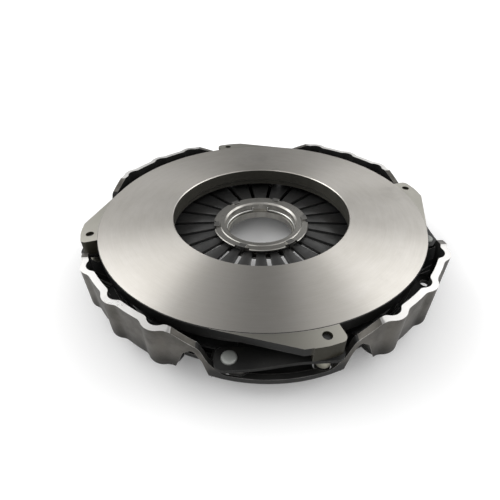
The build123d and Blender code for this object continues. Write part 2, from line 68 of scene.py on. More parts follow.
# ---------------------------------------------------------------- node trees
class Graph:
    """Short ways to add, set and join the nodes of one tree."""

    def __init__(self, tree: bpy.types.NodeTree) -> None:
        """Args: tree: the shader or geometry tree that the nodes go into."""
        self.tree = tree

    def add(self, kind: str, **settings: object) -> bpy.types.Node:
        """Add a node.

        Args:
            kind: the node's type name.
            settings: attributes of the node to set.

        Returns:
            The new node.
        """
        node = self.tree.nodes.new(kind)
        for key, value in settings.items():
            setattr(node, key, value)
        return node

    def feed(self, target: Socket, value: object) -> None:
        """Join a socket to a target, or set the target to a plain value.

        Args:
            target: the input socket.
            value: a socket, a number, a vector or a colour.
        """
        if isinstance(value, bpy.types.NodeSocket):
            self.tree.links.new(value, target)
        elif isinstance(value, tuple) and len(value) == 3 and target.type == "RGBA":
            target.default_value = (*value, 1.0)
        else:
            target.default_value = value

    def calc(self, operation: str, *values: object, clamp: bool = False) -> Socket:
        """Return the result of a math node on one to three values.

        Args:
            operation: the math node's operation.
            values: its numbers, as sockets or plain.
            clamp: keep the result between 0 and 1.

        Returns:
            The result.
        """
        node = self.add("ShaderNodeMath", operation=operation, use_clamp=clamp)
        for socket, value in zip(node.inputs, values):
            self.feed(socket, value)
        return node.outputs[0]

    def times(self, first: object, second: object) -> Socket:
        """Return one number multiplied by another."""
        return self.calc("MULTIPLY", first, second)

    def plus(self, first: object, second: object) -> Socket:
        """Return the sum of two numbers."""
        return self.calc("ADD", first, second)

    def minus(self, first: object, second: object) -> Socket:
        """Return one number less another."""
        return self.calc("SUBTRACT", first, second)

    def vector(self, operation: str, *values: object) -> Socket:
        """Return the vector, or for a dot product or length the number, of a vector node.

        Args:
            operation: the vector node's operation.
            values: its vectors, as sockets or plain.

        Returns:
            The result.
        """
        node = self.add("ShaderNodeVectorMath", operation=operation)
        for socket, value in zip(node.inputs, values):
            self.feed(socket, value)
        return node.outputs["Value" if operation in ("DOT_PRODUCT", "LENGTH") else "Vector"]

    def mix(self, share: object, first: object, second: object) -> Socket:
        """Return the colour between two colours at a share from 0 to 1.

        Args:
            share: how far towards the second.
            first: the colour at 0.
            second: the colour at 1.

        Returns:
            The colour.
        """
        node = self.add("ShaderNodeMix", data_type="RGBA")
        self.feed(node.inputs["Factor"], share)
        self.feed(node.inputs[6], first)
        self.feed(node.inputs[7], second)
        return node.outputs[2]

    def between(self, share: object, first: object, second: object) -> Socket:
        """Return the number between two numbers at a share from 0 to 1.

        Args:
            share: how far towards the second.
            first: the number at 0.
            second: the number at 1.

        Returns:
            The number.
        """
        node = self.add("ShaderNodeMix", data_type="FLOAT")
        for socket, value in zip((node.inputs[0], node.inputs[2], node.inputs[3]), (share, first, second)):
            self.feed(socket, value)
        return node.outputs[0]

    def ease(self, value: object, low: object, high: object) -> Socket:
        """Return 0 under low, 1 over high and a smooth step between.

        Args:
            value: what is measured.
            low: where the step starts.
            high: where it ends; it may be the lower one, and the step then falls.

        Returns:
            The step's height.
        """
        node = self.add("ShaderNodeMapRange", interpolation_type="SMOOTHSTEP")
        for socket, number in zip(node.inputs, (value, low, high)):
            self.feed(socket, number)
        return node.outputs[0]

    def noise(self, place: object, scale: object, detail: float = 3.0, rough: float = 0.55) -> Socket:
        """Return a cloud value round 0.5 for a place in metres.

        Args:
            place: where it is read.
            scale: clouds to the metre.
            detail: how many finer clouds are added.
            rough: how strong the finer ones are.

        Returns:
            The cloud value.
        """
        node = self.add("ShaderNodeTexNoise")
        self.feed(node.inputs["Vector"], place)
        self.feed(node.inputs["Scale"], scale)
        node.inputs["Detail"].default_value = detail
        node.inputs["Roughness"].default_value = rough
        return node.outputs[0]

    def wander(self, place: Socket, scale: float, reach: float) -> Socket:
        """Return a place moved about by a cloud, up to half the reach each way.

        Args:
            place: the place to move.
            scale: clouds to the metre.
            reach: width of the movement in metres.

        Returns:
            The moved place.
        """
        node = self.add("ShaderNodeTexNoise")
        self.feed(node.inputs["Vector"], place)
        node.inputs["Scale"].default_value = scale
        centred = self.vector("SUBTRACT", node.outputs["Color"], (0.5, 0.5, 0.5))
        return self.vector("ADD", place, self.vector("MULTIPLY", centred, (reach, reach, reach)))

    def place(self) -> Socket:
        """Return the object coordinates, which are the row frame in metres."""
        return self.add("ShaderNodeTexCoord").outputs["Object"]

    def split(self, vector: Socket) -> tuple[Socket, Socket, Socket]:
        """Return the x, y and z of a vector."""
        node = self.add("ShaderNodeSeparateXYZ")
        self.feed(node.inputs[0], vector)
        return node.outputs[0], node.outputs[1], node.outputs[2]

    def join(self, x: object, y: object, z: object) -> Socket:
        """Return the vector with these three numbers.

        Args:
            x: first number.
            y: second number.
            z: third number.

        Returns:
            The vector.
        """
        node = self.add("ShaderNodeCombineXYZ")
        for socket, value in zip(node.inputs, (x, y, z)):
            self.feed(socket, value)
        return node.outputs[0]

    def flat(self) -> Socket:
        """Return the surface's own normal before any bump."""
        return self.add("ShaderNodeNewGeometry").outputs["True Normal"]

    def from_shaft(self) -> Socket:
        """Return the place as seen from the nearest point of the shaft axis."""
        x, y, _ = self.split(self.place())
        return self.join(x, y, 0.0)

    def radius(self) -> Socket:
        """Return the distance from the shaft axis."""
        return self.vector("LENGTH", self.from_shaft())


def take_numbers(tree: bpy.types.NodeTree, usual: dict[str, float], kind: str = "NodeSocketFloat") -> None:
    """Give a node group its numeric inputs.

    Args:
        tree: the node group.
        usual: name and usual value of each input.
        kind: type of their sockets.
    """
    for key, value in usual.items():
        tree.interface.new_socket(name=key, in_out="INPUT", socket_type=kind).default_value = value


class Effect(Enum):
    """Surface effects that several finishes share."""

    HIGHLIT_RUBBED_CORNER = "rubbed_edge"
    TURNED_RINGS = "turned_rings"
    CAST_SKIN = "cast_skin"
    OIL_FILM = "oil_film"
    SCUFFS = "scuffs"


class Effects:
    """Builds each shared shader group once and places it in a material."""

    def __init__(self) -> None:
        """Start with no group built."""
        self.trees: dict[Effect, bpy.types.NodeTree] = {}

    def place(self, graph: Graph, effect: Effect, **values: object) -> bpy.types.Node:
        """Put a group into a material.

        Args:
            graph: the material's graph.
            effect: which group.
            values: the group's inputs, with _ for a space in a name.

        Returns:
            The group node.
        """
        if effect not in self.trees:
            self.trees[effect] = getattr(self, "_" + effect.value)()
        node = graph.add("ShaderNodeGroup", node_tree=self.trees[effect])
        for key, value in values.items():
            graph.feed(node.inputs[key.replace("_", " ")], value)
        return node

    @staticmethod
    def _start(name: str, inputs: dict[str, float], outputs: dict[str, str]) -> tuple[Graph, Socket, Socket]:
        """Make an empty group.

        Args:
            name: the group's name.
            inputs: name and usual value of each number it takes.
            outputs: name and socket type of each result.

        Returns:
            Its graph, the sockets of its inputs and those of its outputs.
        """
        tree = bpy.data.node_groups.new(name, "ShaderNodeTree")
        take_numbers(tree, inputs)
        for key, kind in outputs.items():
            tree.interface.new_socket(name=key, in_out="OUTPUT", socket_type=kind)
        graph = Graph(tree)
        return graph, graph.add("NodeGroupInput").outputs, graph.add("NodeGroupOutput").inputs

    def _rubbed_edge(self) -> bpy.types.NodeTree:
        """Return the group that finds corners worn bright, broken up by a cloud; the bright corners are
        partly a painted edge highlight.
        """
        usual = {"Reach": 0.0008, "Amount": 1.0, "Patch": 60.0}
        graph, given, out = self._start("rubbed_edge", usual, {"Mask": "NodeSocketFloat"})
        still_flat, at_corner = 0.985, 0.86
        bevel = graph.add("ShaderNodeBevel", samples=4)
        graph.feed(bevel.inputs["Radius"], given["Reach"])
        agreement = graph.vector("DOT_PRODUCT", bevel.outputs[0], graph.flat())
        corner = graph.ease(agreement, still_flat, at_corner)
        cloud = graph.ease(graph.noise(graph.place(), given["Patch"], 4.0), 0.38, 0.62)
        worn_and_highlit = graph.times(corner, graph.between(cloud, 0.35, 1.0))
        graph.feed(out["Mask"], graph.calc("MULTIPLY", worn_and_highlit, given["Amount"], clamp=True))
        return graph.tree

    def _turned_rings(self) -> bpy.types.NodeTree:
        """Return the group of fine marks round the shaft axis, as a lathe or a ring grinder leaves."""
        results = {"Height": "NodeSocketFloat", "Streak": "NodeSocketFloat"}
        graph, given, out = self._start("turned_rings", {"Pitch": 0.0008, "Arcs": 5.0}, results)
        x, y, _ = graph.split(graph.place())
        radius = graph.radius()
        safe = graph.calc("MAXIMUM", radius, 0.001)
        across = graph.calc("DIVIDE", radius, given["Pitch"])
        turn_x = graph.times(graph.calc("DIVIDE", x, safe), given["Arcs"])
        turn_y = graph.times(graph.calc("DIVIDE", y, safe), given["Arcs"])
        fine = graph.noise(graph.join(across, turn_x, turn_y), 1.0, 3.0, 0.6)
        broad = graph.noise(graph.join(graph.times(across, 0.12), turn_x, turn_y), 1.0, 2.0)
        graph.feed(out["Height"], fine)
        graph.feed(out["Streak"], graph.between(0.5, fine, broad))
        return graph.tree

    def _cast_skin(self) -> bpy.types.NodeTree:
        """Return the group of a sand cast skin: soft lumps, fine grain and a few pits."""
        results = {"Height": "NodeSocketFloat", "Shade": "NodeSocketFloat"}
        graph, given, out = self._start("cast_skin", {"Grain": 0.0012}, results)
        place = graph.place()
        scale = graph.calc("DIVIDE", 1.0, given["Grain"])
        fine = graph.noise(place, scale, 4.0, 0.65)
        lumps = graph.noise(place, graph.times(scale, 0.16), 2.0)
        cells = graph.add("ShaderNodeTexVoronoi", feature="F1")
        graph.feed(cells.inputs["Vector"], place)
        graph.feed(cells.inputs["Scale"], graph.times(scale, 0.45))
        pits = graph.ease(cells.outputs["Distance"], 0.05, 0.3)
        lump_part, fine_part, pit_part = 1.4, 0.7, 0.25
        height = graph.plus(graph.times(lumps, lump_part), graph.times(fine, fine_part))
        graph.feed(out["Height"], graph.plus(height, graph.times(pits, pit_part)))
        graph.feed(out["Shade"], graph.between(0.5, fine, lumps))
        return graph.tree

    def _oil_film(self) -> bpy.types.NodeTree:
        """Return the group of uneven rust-proofing oil: broad patches with soft rims."""
        usual = {"Patch": 22.0, "Cover": 0.5}
        graph, given, out = self._start("oil_film", usual, {"Mask": "NodeSocketFloat"})
        place = graph.place()
        cloud = graph.noise(graph.wander(place, 14.0, 0.03), given["Patch"], 5.0, 0.6)
        soft_rim = 0.16
        low = graph.minus(0.72, graph.times(given["Cover"], 0.4))
        graph.feed(out["Mask"], graph.ease(cloud, low, graph.plus(low, soft_rim)))
        return graph.tree

    def _scuffs(self) -> bpy.types.NodeTree:
        """Return the group of short handling scratches in two directions."""
        usual = {"Length": 0.02, "Amount": 0.5}
        lines_to_metre, layers_to_metre = 900.0, 60.0
        graph, given, out = self._start("scuffs", usual, {"Mask": "NodeSocketFloat"})
        x, y, z = graph.split(graph.place())
        along = graph.calc("DIVIDE", 1.0, given["Length"])
        found = []
        for lean in (0.45, -0.8):
            across = graph.times(graph.plus(x, graph.times(y, lean)), lines_to_metre)
            down = graph.times(graph.minus(y, graph.times(x, lean)), along)
            stretched = graph.join(across, down, graph.times(z, layers_to_metre))
            found.append(graph.ease(graph.noise(stretched, 1.0, 2.0), 0.66, 0.72))
        graph.feed(out["Mask"], graph.times(graph.calc("MAXIMUM", *found), given["Amount"]))
        return graph.tree


# ---------------------------------------------------------------- finishes
@dataclass(frozen=True)
class Layer:
    """One surface of a metal piece: its two colours, shine and relief.

    Attributes:
        base: colour of most of it.
        patch: colour of its cloudy patches.
        metallic: 0 for paint or dull oxide, 1 for bare metal.
        rough: roughness.
        spread: how far roughness wanders either way.
        grain: depth of its cast skin in metres.
        rings: depth of its turning marks in metres.
        pitch: width of one turning mark in metres.
        streak: share of the patch colour that follows the turning marks.
    """

    base: Colour
    patch: Colour
    metallic: float
    rough: float
    spread: float = 0.08
    grain: float = 0.0
    rings: float = 0.0
    pitch: float = 0.0008
    streak: float = 0.0


Mask = Callable[[Graph], Socket]
OIL_COLOUR = (0.05, 0.045, 0.035)
OIL_TINT = 0.22
OIL_SMOOTHS = 0.06
SCRATCH_DEPTH = 0.000002
SCRATCH_BARES = 0.5
WORN_ROUGH = 0.3
LEAST_ROUGH = 0.12


@dataclass(frozen=True)
class Zone:
    """Where a layer lies on a piece, as a mask that a small function adds."""

    layer: Layer
    mask: Mask


@dataclass(frozen=True)
class Finish:
    """A whole finish: a base layer, zones over it, worn corners that also carry a painted edge highlight,
    oil and scuffs.

    Attributes:
        name: the material's name.
        base: the layer under all.
        zones: layers over it, the last on top.
        worn_and_highlit: colour of the bare metal at rubbed corners, which is also their painted highlight.
        wear_and_highlight: how much of each corner is rubbed bright, as wear and as painted highlight.
        reach: width of a rubbed corner in metres.
        oil: share of the surface under an oil film.
        patch: clouds to the metre.
        scuff: strength of scratches.
        grain_size: width of one cast grain in metres.
        brushed: how much the shine stretches across the turning marks.
        gloss: strength of the shine of what isn't metal.
    """

    name: str
    base: Layer
    zones: tuple[Zone, ...] = ()
    worn_and_highlit: Colour = (0.55, 0.54, 0.52)
    wear_and_highlight: float = 0.5
    reach: float = 0.0008
    oil: float = 0.3
    patch: float = 28.0
    scuff: float = 0.12
    grain_size: float = 0.0012
    brushed: float = 0.0
    gloss: float = 0.5

    def material(self, effects: Effects) -> bpy.types.Material:
        """Build the finish as one Principled material.

        Args:
            effects: the shared groups.

        Returns:
            The material.
        """
        made = bpy.data.materials.new(self.name)
        made.use_nodes = True
        made.node_tree.nodes.clear()
        graph = Graph(made.node_tree)
        shader = graph.add("ShaderNodeBsdfPrincipled")
        end = graph.add("ShaderNodeOutputMaterial")
        graph.feed(end.inputs["Surface"], shader.outputs[0])
        colour, rough, metal, height = self._aged(graph, effects, *self._layers(graph, effects))
        bump = graph.add("ShaderNodeBump")
        bump.inputs["Strength"].default_value = 1.0
        bump.inputs["Distance"].default_value = 1.0
        graph.feed(bump.inputs["Height"], height)
        graph.feed(shader.inputs["Base Color"], colour)
        graph.feed(shader.inputs["Roughness"], graph.calc("MAXIMUM", rough, LEAST_ROUGH))
        graph.feed(shader.inputs["Metallic"], metal)
        graph.feed(shader.inputs["Normal"], bump.outputs[0])
        shader.inputs["Specular IOR Level"].default_value = self.gloss
        if self.brushed:
            shader.inputs["Anisotropic"].default_value = self.brushed
            graph.feed(shader.inputs["Tangent"], graph.vector("NORMALIZE", graph.from_shaft()))
        return made

    def _layers(self, graph: Graph, effects: Effects) -> tuple[Socket, Socket, object, Socket]:
        """Lay the zones over the base and return colour, roughness, metallic and height.

        Args:
            graph: the material's graph.
            effects: the shared groups.

        Returns:
            The four, each mixed by the zones' masks.
        """
        cloud = graph.ease(graph.noise(graph.place(), self.patch, 5.0, 0.6), 0.36, 0.66)
        skin = effects.place(graph, Effect.CAST_SKIN, Grain=self.grain_size)
        colour, rough, metal, height = self._layer(graph, effects, self.base, cloud, skin)
        for zone in self.zones:
            mask = zone.mask(graph)
            over = self._layer(graph, effects, zone.layer, cloud, skin)
            colour = graph.mix(mask, colour, over[0])
            rough = graph.between(mask, rough, over[1])
            metal = graph.between(mask, metal, over[2])
            height = graph.between(mask, height, over[3])
        return colour, rough, metal, height

    def _aged(
        self, graph: Graph, effects: Effects, colour: Socket, rough: Socket, metal: object, height: Socket
    ) -> tuple[Socket, Socket, Socket, Socket]:
        """Add the oil film, the scratches and the rubbed corners, whose bright colour is partly a painted
        edge highlight.

        Args:
            graph: the material's graph.
            effects: the shared groups.
            colour: the clean colour.
            rough: the clean roughness.
            metal: the clean metallic value.
            height: the clean height in metres.

        Returns:
            The four as they are after use.
        """
        film = effects.place(graph, Effect.OIL_FILM, Patch=self.patch * 0.7, Cover=self.oil).outputs["Mask"]
        scuff = effects.place(graph, Effect.SCUFFS, Amount=self.scuff).outputs["Mask"]
        # Rubbed corners: real wear, and also a painted highlight along the edges.
        edge = effects.place(graph, Effect.HIGHLIT_RUBBED_CORNER, Reach=self.reach, Amount=self.wear_and_highlight).outputs["Mask"]
        colour = graph.mix(graph.times(film, OIL_TINT), colour, OIL_COLOUR)
        rough = graph.minus(rough, graph.times(film, OIL_SMOOTHS))
        bare = graph.calc("MAXIMUM", edge, graph.times(scuff, SCRATCH_BARES))
        return (
            graph.mix(bare, colour, self.worn_and_highlit),
            graph.between(bare, rough, WORN_ROUGH),
            graph.between(bare, metal, 1.0),
            graph.minus(height, graph.times(scuff, SCRATCH_DEPTH)),
        )

    @staticmethod
    def _layer(
        graph: Graph, effects: Effects, layer: Layer, cloud: Socket, skin: bpy.types.Node
    ) -> tuple[Socket, Socket, float, Socket]:
        """Add one layer's nodes.

        Args:
            graph: the material's graph.
            effects: the shared groups.
            layer: what to build.
            cloud: the finish's patches.
            skin: the finish's cast skin group.

        Returns:
            The colour, roughness, metallic and height in metres.
        """
        share = graph.between(0.45, cloud, skin.outputs["Shade"])
        height = graph.times(skin.outputs["Height"], layer.grain)
        if layer.rings:
            turned = effects.place(graph, Effect.TURNED_RINGS, Pitch=layer.pitch)
            share = graph.between(layer.streak, share, graph.ease(turned.outputs["Streak"], 0.36, 0.64))
            height = graph.plus(height, graph.times(turned.outputs["Height"], layer.rings))
        colour = graph.mix(share, layer.base, layer.patch)
        rough = graph.plus(layer.rough, graph.times(graph.minus(share, 0.5), 2 * layer.spread))
        return colour, rough, layer.metallic, height


def above(level: float, soft: float = 0.0002) -> Mask:
    """Return a mask of what lies over a height, in metres."""
    return lambda graph: graph.ease(graph.split(graph.place())[2], level - soft, level + soft)


def facing(axis: tuple[float, float, float], least: float = 0.8) -> Mask:
    """Return a mask of what faces along an axis."""
    return lambda graph: graph.ease(graph.vector("DOT_PRODUCT", graph.flat(), axis), least, least + 0.1)


def outside(radius: float, soft: float = 0.0002) -> Mask:
    """Return a mask of what lies further from the shaft axis than a radius."""
    return lambda graph: graph.ease(graph.radius(), radius - soft, radius + soft)


def near_axes(half: float, soft: float = 0.002) -> Mask:
    """Return a mask of what lies within a distance of the X or Y axis, as the strap windows do.

    Args:
        half: the distance in metres.
        soft: width of the mask's edge either way.

    Returns:
        The mask.
    """

    def mask(graph: Graph) -> Socket:
        """Add the mask's nodes."""
        x, y, _ = graph.split(graph.place())
        aside = graph.calc("MINIMUM", graph.calc("ABSOLUTE", x), graph.calc("ABSOLUTE", y))
        return graph.ease(aside, half + soft, half - soft)

    return mask


def ahead_of_axes(least: float) -> Mask:
    """Return a mask of what lies counter-clockwise of the X or Y axis, as the bolt ends of the lugs do.

    Args:
        least: sine of four times the least angle.

    Returns:
        The mask.
    """

    def mask(graph: Graph) -> Socket:
        """Add the mask's nodes."""
        x, y, _ = graph.split(graph.place())
        turn = graph.times(graph.calc("ARCTAN2", y, x), 4.0)
        return graph.ease(graph.calc("SINE", turn), least, least + 0.05)

    return mask


def inwards(least: float = 0.25) -> Mask:
    """Return a mask of what faces the shaft axis.

    Args:
        least: how much the surface has to lean towards the shaft.

    Returns:
        The mask.
    """

    def mask(graph: Graph) -> Socket:
        """Add the mask's nodes."""
        out = graph.vector("NORMALIZE", graph.from_shaft())
        return graph.ease(graph.vector("DOT_PRODUCT", graph.flat(), out), -least, -least - 0.15)

    return mask


def both(*masks: Mask) -> Mask:
    """Return where every mask holds.

    Args:
        masks: two masks or more.

    Returns:
        The mask of what they share.
    """

    def mask(graph: Graph) -> Socket:
        """Add the mask's nodes.

        Args:
            graph: the material's graph.

        Returns:
            The masks multiplied.
        """
        held = masks[0](graph)
        for other in masks[1:]:
            held = graph.times(held, other(graph))
        return held

    return mask


def either(*masks: Mask) -> Mask:
    """Return where any mask holds.

    Args:
        masks: two masks or more.

    Returns:
        The mask of what any of them covers.
    """

    def mask(graph: Graph) -> Socket:
        """Add the mask's nodes.

        Args:
            graph: the material's graph.

        Returns:
            The highest of the masks.
        """
        held = masks[0](graph)
        for other in masks[1:]:
            held = graph.calc("MAXIMUM", held, other(graph))
        return held

    return mask


def outside_of(mask: Mask) -> Mask:
    """Return where a mask doesn't hold."""
    return lambda graph: graph.minus(1.0, mask(graph))


UP = (0.0, 0.0, 1.0)
DOWN = (0.0, 0.0, -1.0)
BLACK_PAINT = Layer((0.008, 0.008, 0.008), (0.018, 0.018, 0.017), 0.0, 0.46, 0.1, grain=0.00006)
# Painted shade: a dark layer that darkens the cover's outer wall towards its foot, standing in for shade and
# dark reflections there.
LOW_WALL_PAINTED_SHADE = Layer((0.05, 0.047, 0.042), (0.022, 0.021, 0.019), 0.3, 0.5, grain=0.00005)
BARE_IRON = Layer((0.165, 0.155, 0.14), (0.06, 0.057, 0.05), 0.75, 0.44, grain=0.00006)
CUT_IRON = Layer((0.86, 0.85, 0.83), (0.74, 0.73, 0.71), 1.0, 0.32, 0.04)
GROUND_IRON = Layer(
    (0.68, 0.655, 0.615), (0.56, 0.535, 0.49), 1.0, 0.36, 0.04, rings=0.0000015, pitch=0.001, streak=0.3
)
MILLED_LUG = Layer((0.58, 0.565, 0.51), (0.49, 0.475, 0.42), 1.0, 0.34, 0.04)
OLIVE_IRON = Layer((0.075, 0.072, 0.06), (0.045, 0.043, 0.036), 0.5, 0.5, grain=0.00008)
OCHRE_DUST = Layer((0.055, 0.05, 0.036), (0.03, 0.028, 0.02), 0.2, 0.5, grain=0.00004)
RIM_TOP = above(0.0736)
FACE_TOP = above(0.0688)
LUG_SIDES = above(0.0495)
FLANGE_BACK = both(above(0.0194), outside_of(above(0.0206)))

COVER_FINISH = Finish(
    "cover_iron_finish",
    BARE_IRON,
    (
        # Painted shade: the outer wall darkens towards the bottom.
        Zone(LOW_WALL_PAINTED_SHADE, outside_of(above(0.038, 0.014))),
        Zone(
            BLACK_PAINT,
            either(
                inwards(),
                both(facing(UP, 0.3), outside_of(above(0.0625))),
                outside_of(above(0.024, 0.003)),
            ),
        ),
        Zone(BLACK_PAINT, both(near_axes(0.066), outside_of(above(0.034, 0.004)))),
        Zone(CUT_IRON, both(RIM_TOP, facing(UP, 0.5))),
        Zone(CUT_IRON, both(facing(DOWN), outside(0.2144), FLANGE_BACK)),
    ),
    wear_and_highlight=0.75,
    oil=0.35,
    scuff=0.0,
    gloss=0.25,
)
PLATE_FINISH = Finish(
    "plate_iron_finish",
    OLIVE_IRON,
    (
        # The plate's outer side and the lugs' sides are laid near black.
        Zone(BLACK_PAINT, both(LUG_SIDES, outside(0.2145))),
        Zone(OCHRE_DUST, both(LUG_SIDES, outside(0.2175), ahead_of_axes(0.45))),
        Zone(GROUND_IRON, both(FACE_TOP, facing(UP, 0.88))),
        Zone(GROUND_IRON, both(FACE_TOP, facing(UP, 0.5), outside_of(outside(0.123)))),
        Zone(MILLED_LUG, both(FACE_TOP, facing(UP, 0.88), outside(0.2163))),
    ),
    wear_and_highlight=0.3,
    oil=0.25,
    patch=13.0,
    scuff=0.0,
    brushed=0.92,
    gloss=0.3,
)
SPRING_FINISH = Finish(
    "spring_steel_finish",
    Layer((0.1, 0.1, 0.098), (0.045, 0.045, 0.045), 0.7, 0.4, 0.1, grain=0.000012),
    worn_and_highlit=(0.4, 0.4, 0.39),
    oil=0.4,
    grain_size=0.0006,
)
STRAP_FINISH = Finish(
    "strap_steel_finish",
    Layer((0.008, 0.008, 0.008), (0.016, 0.016, 0.015), 0.05, 0.48, 0.1, grain=0.000008),
    worn_and_highlit=(0.2, 0.2, 0.19),
    wear_and_highlight=0.6,
    reach=0.0004,
    grain_size=0.0006,
    gloss=0.22,
)
RIVET_FINISH = Finish(
    "rivet_steel_finish",
    Layer((0.36, 0.37, 0.355), (0.24, 0.25, 0.235), 0.7, 0.58, grain=0.00003),
    wear_and_highlight=0.3,
)
ZINC_FINISH = Finish(
    "zinc_steel_finish",
    Layer((0.46, 0.45, 0.38), (0.34, 0.33, 0.27), 0.35, 0.5, 0.06, grain=0.000006),
    wear_and_highlight=0.4,
    grain_size=0.0007,
)
BOLT_FINISH = Finish(
    "bolt_steel_finish",
    Layer((0.05, 0.05, 0.05), (0.09, 0.09, 0.088), 0.8, 0.38, grain=0.000006),
    wear_and_highlight=0.6,
    reach=0.0004,
    grain_size=0.0006,
)
RING_FINISH = Finish(
    "ring_steel_finish",
    Layer((0.44, 0.43, 0.4), (0.3, 0.29, 0.27), 1.0, 0.32, 0.07, rings=0.000003, streak=0.6),
    wear_and_highlight=0.7,
    reach=0.0006,
    brushed=0.4,
)
SNAP_FINISH = Finish(
    "snap_steel_finish",
    Layer((0.62, 0.62, 0.6), (0.42, 0.42, 0.4), 1.0, 0.24, 0.06),
    wear_and_highlight=0.3,
    oil=0.2,
)
WIRE_FINISH = Finish(
    "wire_steel_finish",
    Layer((0.2, 0.2, 0.19), (0.11, 0.11, 0.1), 0.9, 0.35),
    wear_and_highlight=0.3,
)
RETAINER_FINISH = Finish(
    "retainer_steel_finish",
    Layer((0.3, 0.295, 0.28), (0.16, 0.157, 0.15), 1.0, 0.34, grain=0.000006),
    worn_and_highlit=(0.62, 0.62, 0.6),
    wear_and_highlight=0.9,
    reach=0.0006,
    grain_size=0.0006,
)


# ---------------------------------------------------------------- mesh tools
def settle(mesh: bpy.types.Mesh, sharp: float = 32.0) -> None:
    """Shade a mesh smooth, apart from edges sharper than an angle in degrees.

    Args:
        mesh: the mesh.
        sharp: the angle.
    """
    mesh.polygons.foreach_set("use_smooth", [True] * len(mesh.polygons))
    mesh.set_sharp_from_angle(angle=math.radians(sharp))
    mesh.update()


def new_piece(name: str, mesh: bpy.types.Mesh, material: bpy.types.Material) -> Piece:
    """Put a mesh into the scene as a piece with one material.

    Args:
        name: the piece's name.
        mesh: its mesh.
        material: its material.

    Returns:
        The piece.
    """
    piece = bpy.data.objects.new(name, mesh)
    bpy.context.scene.collection.objects.link(piece)
    mesh.name = name
    mesh.materials.clear()
    mesh.materials.append(material)
    return piece


def bake(piece: Piece) -> None:
    """Turn a piece's modifiers into its own plain mesh.

    Args:
        piece: the piece, which loses its modifiers.
    """
    graph = bpy.context.evaluated_depsgraph_get()
    mesh = bpy.data.meshes.new_from_object(piece.evaluated_get(graph))
    piece.modifiers.clear()
    piece.data = mesh


def mesh_of(shape: bmesh.types.BMesh, name: str) -> bpy.types.Mesh:
    """Write an edited shape into a new mesh with its faces outwards, and free it.

    Args:
        shape: the shape, which can't be used afterwards.
        name: the mesh's name.

    Returns:
        The mesh.
    """
    bmesh.ops.recalc_face_normals(shape, faces=shape.faces)
    mesh = bpy.data.meshes.new(name)
    shape.to_mesh(mesh)
    shape.free()
    return mesh


def divide(shape: bmesh.types.BMesh, point: Vector, along: Vector, near: float) -> list[bmesh.types.BMEdge]:
    """Divide a shape's faces by a plane.

    Args:
        shape: the shape, which stays in one piece.
        point: a point of the plane.
        along: the plane's normal.
        near: how far from the plane a vertex counts as on it.

    Returns:
        The edges that lie in the plane.
    """
    parts = shape.verts[:] + shape.edges[:] + shape.faces[:]
    cut = bmesh.ops.bisect_plane(shape, geom=parts, plane_co=point, plane_no=along, dist=near)
    return [part for part in cut["geom_cut"] if isinstance(part, bmesh.types.BMEdge)]


def rounded_copy(node: str, name: str, width: float, material: bpy.types.Material) -> Piece:
    """Copy a node's shape with its flats merged in sectors and its sharp edges rounded.

    Args:
        node: the CAD node to copy.
        name: the new piece's name.
        width: width of the rounding in metres.
        material: its material.

    Returns:
        The piece, which stands for the node.
    """
    mesh = bpy.data.objects[node].data.copy()
    shape = bmesh.new()
    shape.from_mesh(mesh)
    bmesh.ops.remove_doubles(shape, verts=shape.verts, dist=0.001 * MM)
    for turn in range(0, 180, 15):
        across = Vector((-math.sin(math.radians(turn)), math.cos(math.radians(turn)), 0))
        for edge in divide(shape, Vector(), across, 0.002 * MM):
            edge.seam = True
    flat = math.radians(0.6)
    bmesh.ops.dissolve_limit(shape, angle_limit=flat, verts=shape.verts, edges=shape.edges, delimit={"SEAM"})
    shape.to_mesh(mesh)
    shape.free()
    piece = new_piece(name, mesh, material)
    settle(mesh)
    bevel = piece.modifiers.new("rounding", "BEVEL")
    bevel.width = width
    bevel.segments = 2
    bevel.limit_method = "ANGLE"
    bevel.angle_limit = math.radians(35)
    even = piece.modifiers.new("even", "WEIGHTED_NORMAL")
    even.keep_sharp = True
    bake(piece)
    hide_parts(node)
    return piece


KNURL_DEPTH = 0.18 * MM


class Outline(Enum):
    """Shape of one level of a turned piece."""

    ROUND = "round"
    HEX = "hex"
    KNURLED = "knurled"


@dataclass(frozen=True)
class Level:
    """One level of a turned piece: its radius, height and outline, in metres."""

    radius: float
    height: float
    form: Outline = Outline.ROUND

    def reach(self, step: int, steps: int) -> float:
        """Return the radius at one of the steps round the axis.

        Args:
            step: number of the step.
            steps: how many steps make the turn.

        Returns:
            The radius in metres.
        """
        if self.form is Outline.HEX:
            turn = math.degrees(math.tau * step / steps) % 60 - 30
            return self.radius / math.cos(math.radians(turn))
        if self.form is Outline.KNURLED:
            return self.radius - (KNURL_DEPTH if step % 2 else 0.0)
        return self.radius


def levels_of(sizes: Iterable[Spot], base: float = 0.0) -> list[Level]:
    """Return round levels from pairs of radius and height in mm, raised by a base in metres."""
    return [Level(radius * MM, base + height * MM) for radius, height in sizes]


def turned(levels: Iterable[Level], at: Spot, steps: int, tube: bool = False) -> bpy.types.Mesh:
    """Build a closed turned piece, from its lowest level to its highest.

    Args:
        levels: the outline, followed once with the metal on its inner side.
        at: where its axis stands, in metres.
        steps: number of sides.
        tube: join the last level to the first, instead of closing both ends.

    Returns:
        The closed mesh.
    """
    shape = bmesh.new()
    rows = []
    for level in levels:
        row = []
        for step in range(steps):
            turn = math.tau * step / steps
            reach = level.reach(step, steps)
            x, y = at[0] + reach * math.cos(turn), at[1] + reach * math.sin(turn)
            row.append(shape.verts.new((x, y, level.height)))
        rows.append(row)
    for low, high in zip(rows, rows[1:] + rows[:1] if tube else rows[1:]):
        for step in range(steps):
            after = (step + 1) % steps
            shape.faces.new((low[step], low[after], high[after], high[step]))
    if not tube:
        shape.faces.new(list(reversed(rows[0])))
        shape.faces.new(rows[-1])
    mesh = mesh_of(shape, "turned")
    settle(mesh)
    return mesh


